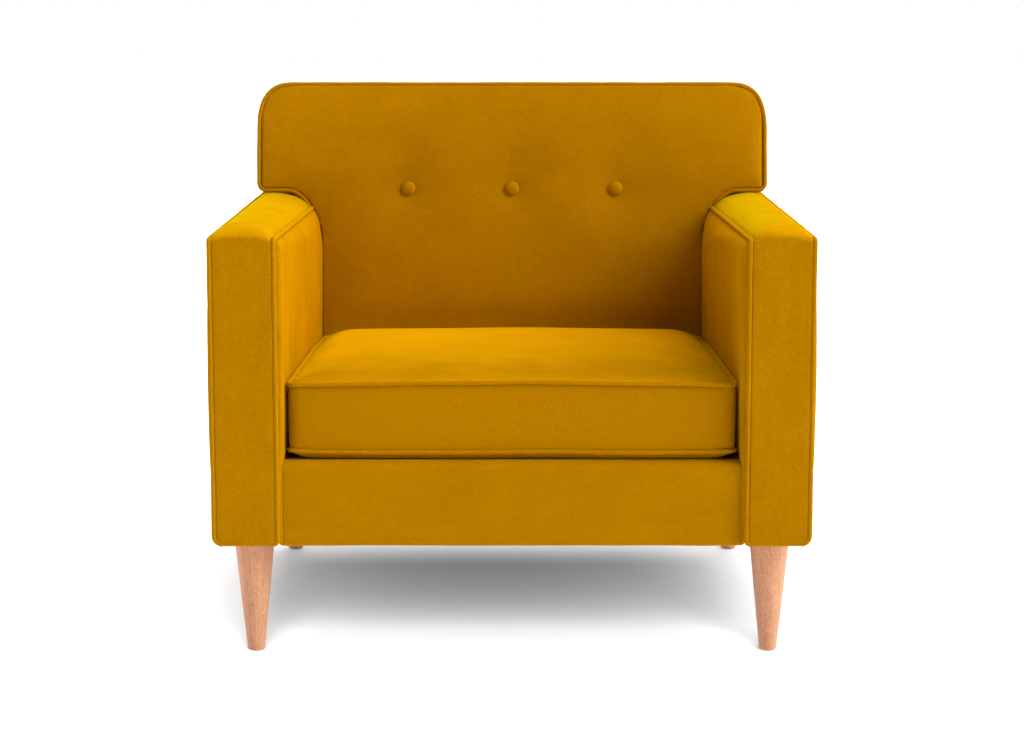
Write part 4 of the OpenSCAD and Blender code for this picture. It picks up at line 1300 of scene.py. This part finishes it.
class CushionZip(bpy.types.Operator):
    """Zip in the rear border of the cushion: tape, two rows of teeth and the slider on them."""

    bl_idname = "chair.cushion_zip"
    bl_label = "Cushion zip"

    tape_w: bpy.props.FloatProperty(
        name="Tape width", description="Width of the tape", unit="LENGTH", default=0.028
    )
    tape_t: bpy.props.FloatProperty(
        name="Tape thickness", description="Thickness of the tape", unit="LENGTH", default=0.0007
    )
    chain_w: bpy.props.FloatProperty(
        name="Chain width", description="Width of the two rows of teeth", unit="LENGTH",
        default=0.0054,
    )
    chain_t: bpy.props.FloatProperty(
        name="Chain thickness", description="Height of the teeth", unit="LENGTH", default=0.0021
    )
    pitch: bpy.props.FloatProperty(
        name="Pitch", description="Distance between two teeth of a row", unit="LENGTH",
        default=0.004,
    )

    def execute(self, context):
        low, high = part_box("cushion_zip")
        half = high.x
        along = flat_on_face((low + high) / 2).y
        # The tape is the foremost layer, so the teeth point to the rear
        tape_z = flat_on_face(Vector((0, low.y, high.z))).z - self.tape_t / 2
        bm = bmesh.new()
        block(bm, (2 * half, self.tape_w, self.tape_t), (0, along, tape_z))
        bm.transform(FACE)
        tape = object_of("zip_tape", bm)
        weave = woven("zip_tape_weave", (0.20, 0.08, 0.004), (0.34, 0.14, 0.006), 100)
        finished(tape, "cushion", weave, ["cushion_zip"])

        # The teeth of the two rows reach past each other, and lie half a pitch apart
        bm = bmesh.new()
        teeth_z = tape_z - (self.tape_t + self.chain_t) / 2
        reach = 0.62 * self.chain_w
        size = (0.36 * self.pitch, reach, self.chain_t)
        for row in (-1, 1):
            y = along + row * (self.chain_w - reach) / 2
            for k in range(int(2 * half / self.pitch) - 1):
                block(bm, size, (self.pitch * (k + 0.75 + 0.25 * row) - half, y, teeth_z))
        bm.transform(FACE)
        teeth = object_of("zip_teeth", bm)
        finished(teeth, "cushion", moulded("zip_teeth_nylon", (0.30, 0.14, 0.01), 0.4))

        bm = merged_copy("zip_slider")
        bmesh.ops.dissolve_limit(bm, angle_limit=0.02, verts=bm.verts, edges=bm.edges)
        bmesh.ops.bevel(
            bm, geom=bm.edges[:], offset=0.35 * MM, segments=2, affect="EDGES", profile=0.5,
            material=-1,
        )
        slider = object_of("slider_body", bm)
        steel = metal("slider_metal", (0.55, 0.50, 0.40), 0.3)
        finished(slider, "slider", steel, ["zip_slider"])
        for piece in (tape, teeth, slider):
            piece.data.shade_flat()
        return {"FINISHED"}


# ---------------------------------------------------------------- deck and underside


# How far the deck lining laps over the front rail cover
DECK_LAP = 8 * MM
# Side of the cut-outs of the dust cloth, and the space that stays free round a leg in them
LEG_SPACE = 1 * MM


def stretched_cloth(name, low, high, step, left_out=()):
    """A flat cloth of even squares that fills a box, without the squares in left_out boxes."""
    size = high - low
    bm = bmesh.new()
    bmesh.ops.create_grid(
        bm, x_segments=round(size.x / step), y_segments=round(size.y / step), size=0.5
    )
    bmesh.ops.scale(bm, verts=bm.verts, vec=(size.x, size.y, 1))
    bmesh.ops.translate(bm, verts=bm.verts, vec=(low + high) / 2)
    gone = []
    for face in bm.faces:
        x, y, _ = face.calc_center_median()
        if any(a.x < x < b.x and a.y < y < b.y for a, b in left_out):
            gone.append(face)
    bmesh.ops.delete(bm, geom=gone, context="FACES")
    obj = object_of(name, bm)
    ripple(obj, 0.15 * MM, size=60 * MM, seed=81)
    solid = obj.modifiers.new("Thickness", "SOLIDIFY")
    solid.thickness = size.z
    solid.offset = 0
    return baked(obj)


class SeatDeck(bpy.types.Operator):
    """Foam pad on the springs and the lining stretched over it, sewn to the front rail cover."""

    bl_idname = "chair.seat_deck"
    bl_label = "Seat deck"

    def execute(self, context):
        bm = merged_copy("deck_pad")
        padding = even_piece("deck_padding", bm, voxel=5 * MM, softening=2)
        finished(padding, "frame", foam("deck_foam"), ["deck_pad"])
        low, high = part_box("deck_cloth")
        low = low - Vector((0, DECK_LAP, 0))
        lining = stretched_cloth("deck_lining", low, high, step=10 * MM)
        material = woven("deck_lining_weave", (0.25, 0.10, 0.004), (0.40, 0.17, 0.006), 70)
        finished(lining, "frame", material, ["deck_cloth"])
        return {"FINISHED"}


class DustCover(bpy.types.Operator):
    """Black cloth under the seat, cut out round the leg plates."""

    bl_idname = "chair.dust_cover"
    bl_label = "Dust cover"

    def execute(self, context):
        low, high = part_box("dust_cover")
        space = Vector((LEG_SPACE, LEG_SPACE, 0))
        cuts = [(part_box(leg)[0] - space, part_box(leg)[1] + space) for leg in LEG_NODES]
        cover = stretched_cloth("dust_cloth", low, high, step=8 * MM, left_out=cuts)
        material = woven("dust_cloth_weave", (0.008, 0.008, 0.009), (0.03, 0.03, 0.033), 60)
        finished(cover, "frame", material, ["dust_cover"])
        return {"FINISHED"}


# ---------------------------------------------------------------- legs and frame


# Radius of a leg at its foot, the height of the round there, and how far the round starts inside
# that radius and ends outside it, where the taper has come to
FOOT_R = 13.6 * MM
FOOT_ROUND = 3 * MM
ROUND_IN = 2.6 * MM
ROUND_OUT = 0.3 * MM
# Round at the top of a leg: where it starts, and its last step
TOP_ROUND = 1.2 * MM
TOP_ROUND_W = 2 * MM
TOP_ROUND_H = 0.3 * MM


class Legs(bpy.types.Operator):
    """Turned and tapered legs with a small round at the foot."""

    bl_idname = "chair.legs"
    bl_label = "Legs"

    def execute(self, context):
        material = beech("beech_legs")
        for node in LEG_NODES:
            low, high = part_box(node)
            centre = (low + high) / 2
            height = high.z - low.z
            top_r = (high.x - low.x) / 2
            taper = (top_r - FOOT_R) / height
            profile = [(0, 0), (FOOT_R - FOOT_ROUND, 0)]
            for degrees in range(15, 91, 15):
                a = math.radians(degrees)
                out = FOOT_R - ROUND_IN + (ROUND_IN + ROUND_OUT) * math.sin(a)
                profile.append((out, FOOT_ROUND * (1 - math.cos(a))))
            for k in range(1, 25):
                up = FOOT_ROUND + (height - FOOT_ROUND - TOP_ROUND) * k / 24
                profile.append((FOOT_R + taper * up, up))
            profile += [
                (top_r - TOP_ROUND, height - TOP_ROUND_H), (top_r - TOP_ROUND_W, height),
                (0, height),
            ]
            bm = bmesh.new()
            turned_solid(bm, profile, centre.x, centre.y, steps=72)
            bmesh.ops.translate(bm, verts=bm.verts, vec=(0, 0, low.z))
            obj = object_of("turned_" + node, bm)
            finished(obj, "frame", material, [node])
        return {"FINISHED"}


class FrameFinishes(bpy.types.Operator):
    """Finishes of the solids that stay as the frame has them."""

    bl_idname = "chair.frame_finishes"
    bl_label = "Frame, springs and fittings"

    def execute(self, context):
        finishes = {
            "frame_wood": sawn_wood("frame_timber"),
            "zinc_steel": metal("zinc_plated_steel", (0.62, 0.63, 0.65), 0.35),
            "spring_steel": metal("spring_wire", (0.36, 0.37, 0.39), 0.3),
            "glide": moulded("glide_plastic", (0.05, 0.05, 0.055)),
            "webbing": woven("jute_webbing", (0.10, 0.08, 0.05), (0.28, 0.22, 0.13), 30),
        }
        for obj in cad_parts.values():
            if not obj.hide_render:
                for place in obj.material_slots:
                    place.material = finishes[place.material.name]
        return {"FINISHED"}


# ---------------------------------------------------------------- stage


# Suns of the stage: name, direction towards the lamp, spread in degrees, strength, and whether
# the lamp lights everything, the chair alone or the floor alone
LAMPS = (
    ("key", (0.75, -0.25, 0.75), 45, 3.2, "chair"),
    ("side", (0.9, -0.3, 0.35), 40, 1.5, "chair"),
    ("top", (0.1, 0.4, 0.9), 50, 3.6, "all"),
    ("fill", (-0.7, -0.3, 0.6), 50, 0.4, "chair"),
    ("low_left", (-0.98, -0.15, 0.02), 30, 1.0, "chair"),
    ("low_right", (0.98, -0.15, 0.02), 30, 0.7, "chair"),
    ("floor_front", (0.1, -0.88, 0.46), 40, 7.8, "floor"),
    ("floor_right", (0.7, -0.3, 0.6), 50, 2.5, "floor"),
    ("floor_left", (-0.7, -0.3, 0.6), 50, 1.2, "floor"),
)


class Stage(bpy.types.Operator):
    """Pale floor, soft studio lights and the camera."""

    bl_idname = "chair.stage"
    bl_label = "Stage"

    def execute(self, context):
        settings = context.scene.chair_stage
        bm = bmesh.new()
        bmesh.ops.create_grid(bm, x_segments=4, y_segments=4, size=30)
        floor = object_of("floor", bm)
        material, shader, place = blank_material(
            "floor_paint", Roughness=0.9, Specular_IOR_Level=0.0,
            Emission_Color=(1, 1, 1, 1), Emission_Strength=settings.floor_glow,
        )
        tone = weighted((noise_of(place, 3), 0.3))
        colour = mixed(tone, (0.59, 0.59, 0.59), (0.61, 0.61, 0.61))
        feed(shader.inputs["Base Color"], colour)
        floor.data.materials.append(material)

        # The backdrop is seen white, and lights the chair less than it looks
        world = bpy.data.worlds.new("studio")
        world.use_nodes = True
        tree = world.node_tree
        path = add_node(tree, "ShaderNodeLightPath")
        seen = add_node(
            tree, "ShaderNodeMapRange",
            {"Value": path.outputs["Is Camera Ray"], "To Min": settings.backdrop_light},
        )
        background = tree.nodes["Background"]
        background.inputs["Color"].default_value = (1, 1, 1, 1)
        feed(background.inputs["Strength"], seen.outputs["Result"])
        context.scene.world = world

        lit = {
            "floor": bpy.data.collections.new("floor_only"),
            "chair": bpy.data.collections.new("no_floor"),
        }
        for group in lit.values():
            group.objects.link(floor)
        lit["chair"].collection_objects[0].light_linking.link_state = "EXCLUDE"
        for name, towards, spread, strength, lights in LAMPS:
            light = bpy.data.lights.new(name, "SUN")
            light.angle = math.radians(spread)
            light.energy = strength
            lamp = new_object(name, light)
            lamp.location = 3 * Vector(towards)
            lamp.rotation_euler = Vector(towards).to_track_quat("Z", "Y").to_euler()
            if lights in lit:
                lamp.light_linking.receiver_collection = lit[lights]

        camera = bpy.data.cameras.new("camera")
        camera.lens = settings.lens
        camera.sensor_width = 36
        eye = new_object("camera", camera)
        eye.location = (0, -settings.camera_distance, settings.camera_height)
        eye.rotation_euler = (math.pi / 2 - settings.camera_pitch, 0, 0)
        context.scene.camera = eye
        context.scene.view_settings.view_transform = "Standard"
        return {"FINISHED"}


# ---------------------------------------------------------------- add-on


OPERATORS = (
    ArmInnerPads, ArmOuterPanels, ArmBands, ArmPiping, Apron, BackPad, Buttons, BackPiping,
    BackBoxing, SeatCushion, CushionPiping, CushionFilling, CushionZip, SeatDeck, DustCover, Legs,
    FrameFinishes, Stage,
)
SETTINGS = {
    "chair_fabric": FabricSettings,
    "chair_piping": PipingSettings,
    "chair_cushion": CushionSettings,
    "chair_back": BackSettings,
    "chair_wood": WoodSettings,
    "chair_stage": StageSettings,
}


class ChairPanel(bpy.types.Panel):
    """Lists the settings and the pieces of the armchair."""

    bl_idname = "VIEW3D_PT_armchair"
    bl_label = "Armchair"
    bl_space_type = "VIEW_3D"
    bl_region_type = "UI"
    bl_category = "Armchair"

    def draw(self, context):
        for name, group in SETTINGS.items():
            box = self.layout.box()
            box.label(text=group.__doc__)
            for key in group.__annotations__:
                box.prop(getattr(context.scene, name), key)
        for operator in OPERATORS:
            self.layout.operator(operator.bl_idname)


def register():
    for group in SETTINGS.values():
        bpy.utils.register_class(group)
    for operator in OPERATORS:
        bpy.utils.register_class(operator)
    bpy.utils.register_class(ChairPanel)
    for name, group in SETTINGS.items():
        setattr(bpy.types.Scene, name, bpy.props.PointerProperty(type=group))


def unregister():
    for name in SETTINGS:
        delattr(bpy.types.Scene, name)
    bpy.utils.unregister_class(ChairPanel)
    for operator in reversed(OPERATORS):
        bpy.utils.unregister_class(operator)
    for group in reversed(SETTINGS.values()):
        bpy.utils.unregister_class(group)


def main():
    register()
    for operator in OPERATORS:
        group, name = operator.bl_idname.split(".")
        getattr(getattr(bpy.ops, group), name)()


if __name__ == "__main__":
    main()
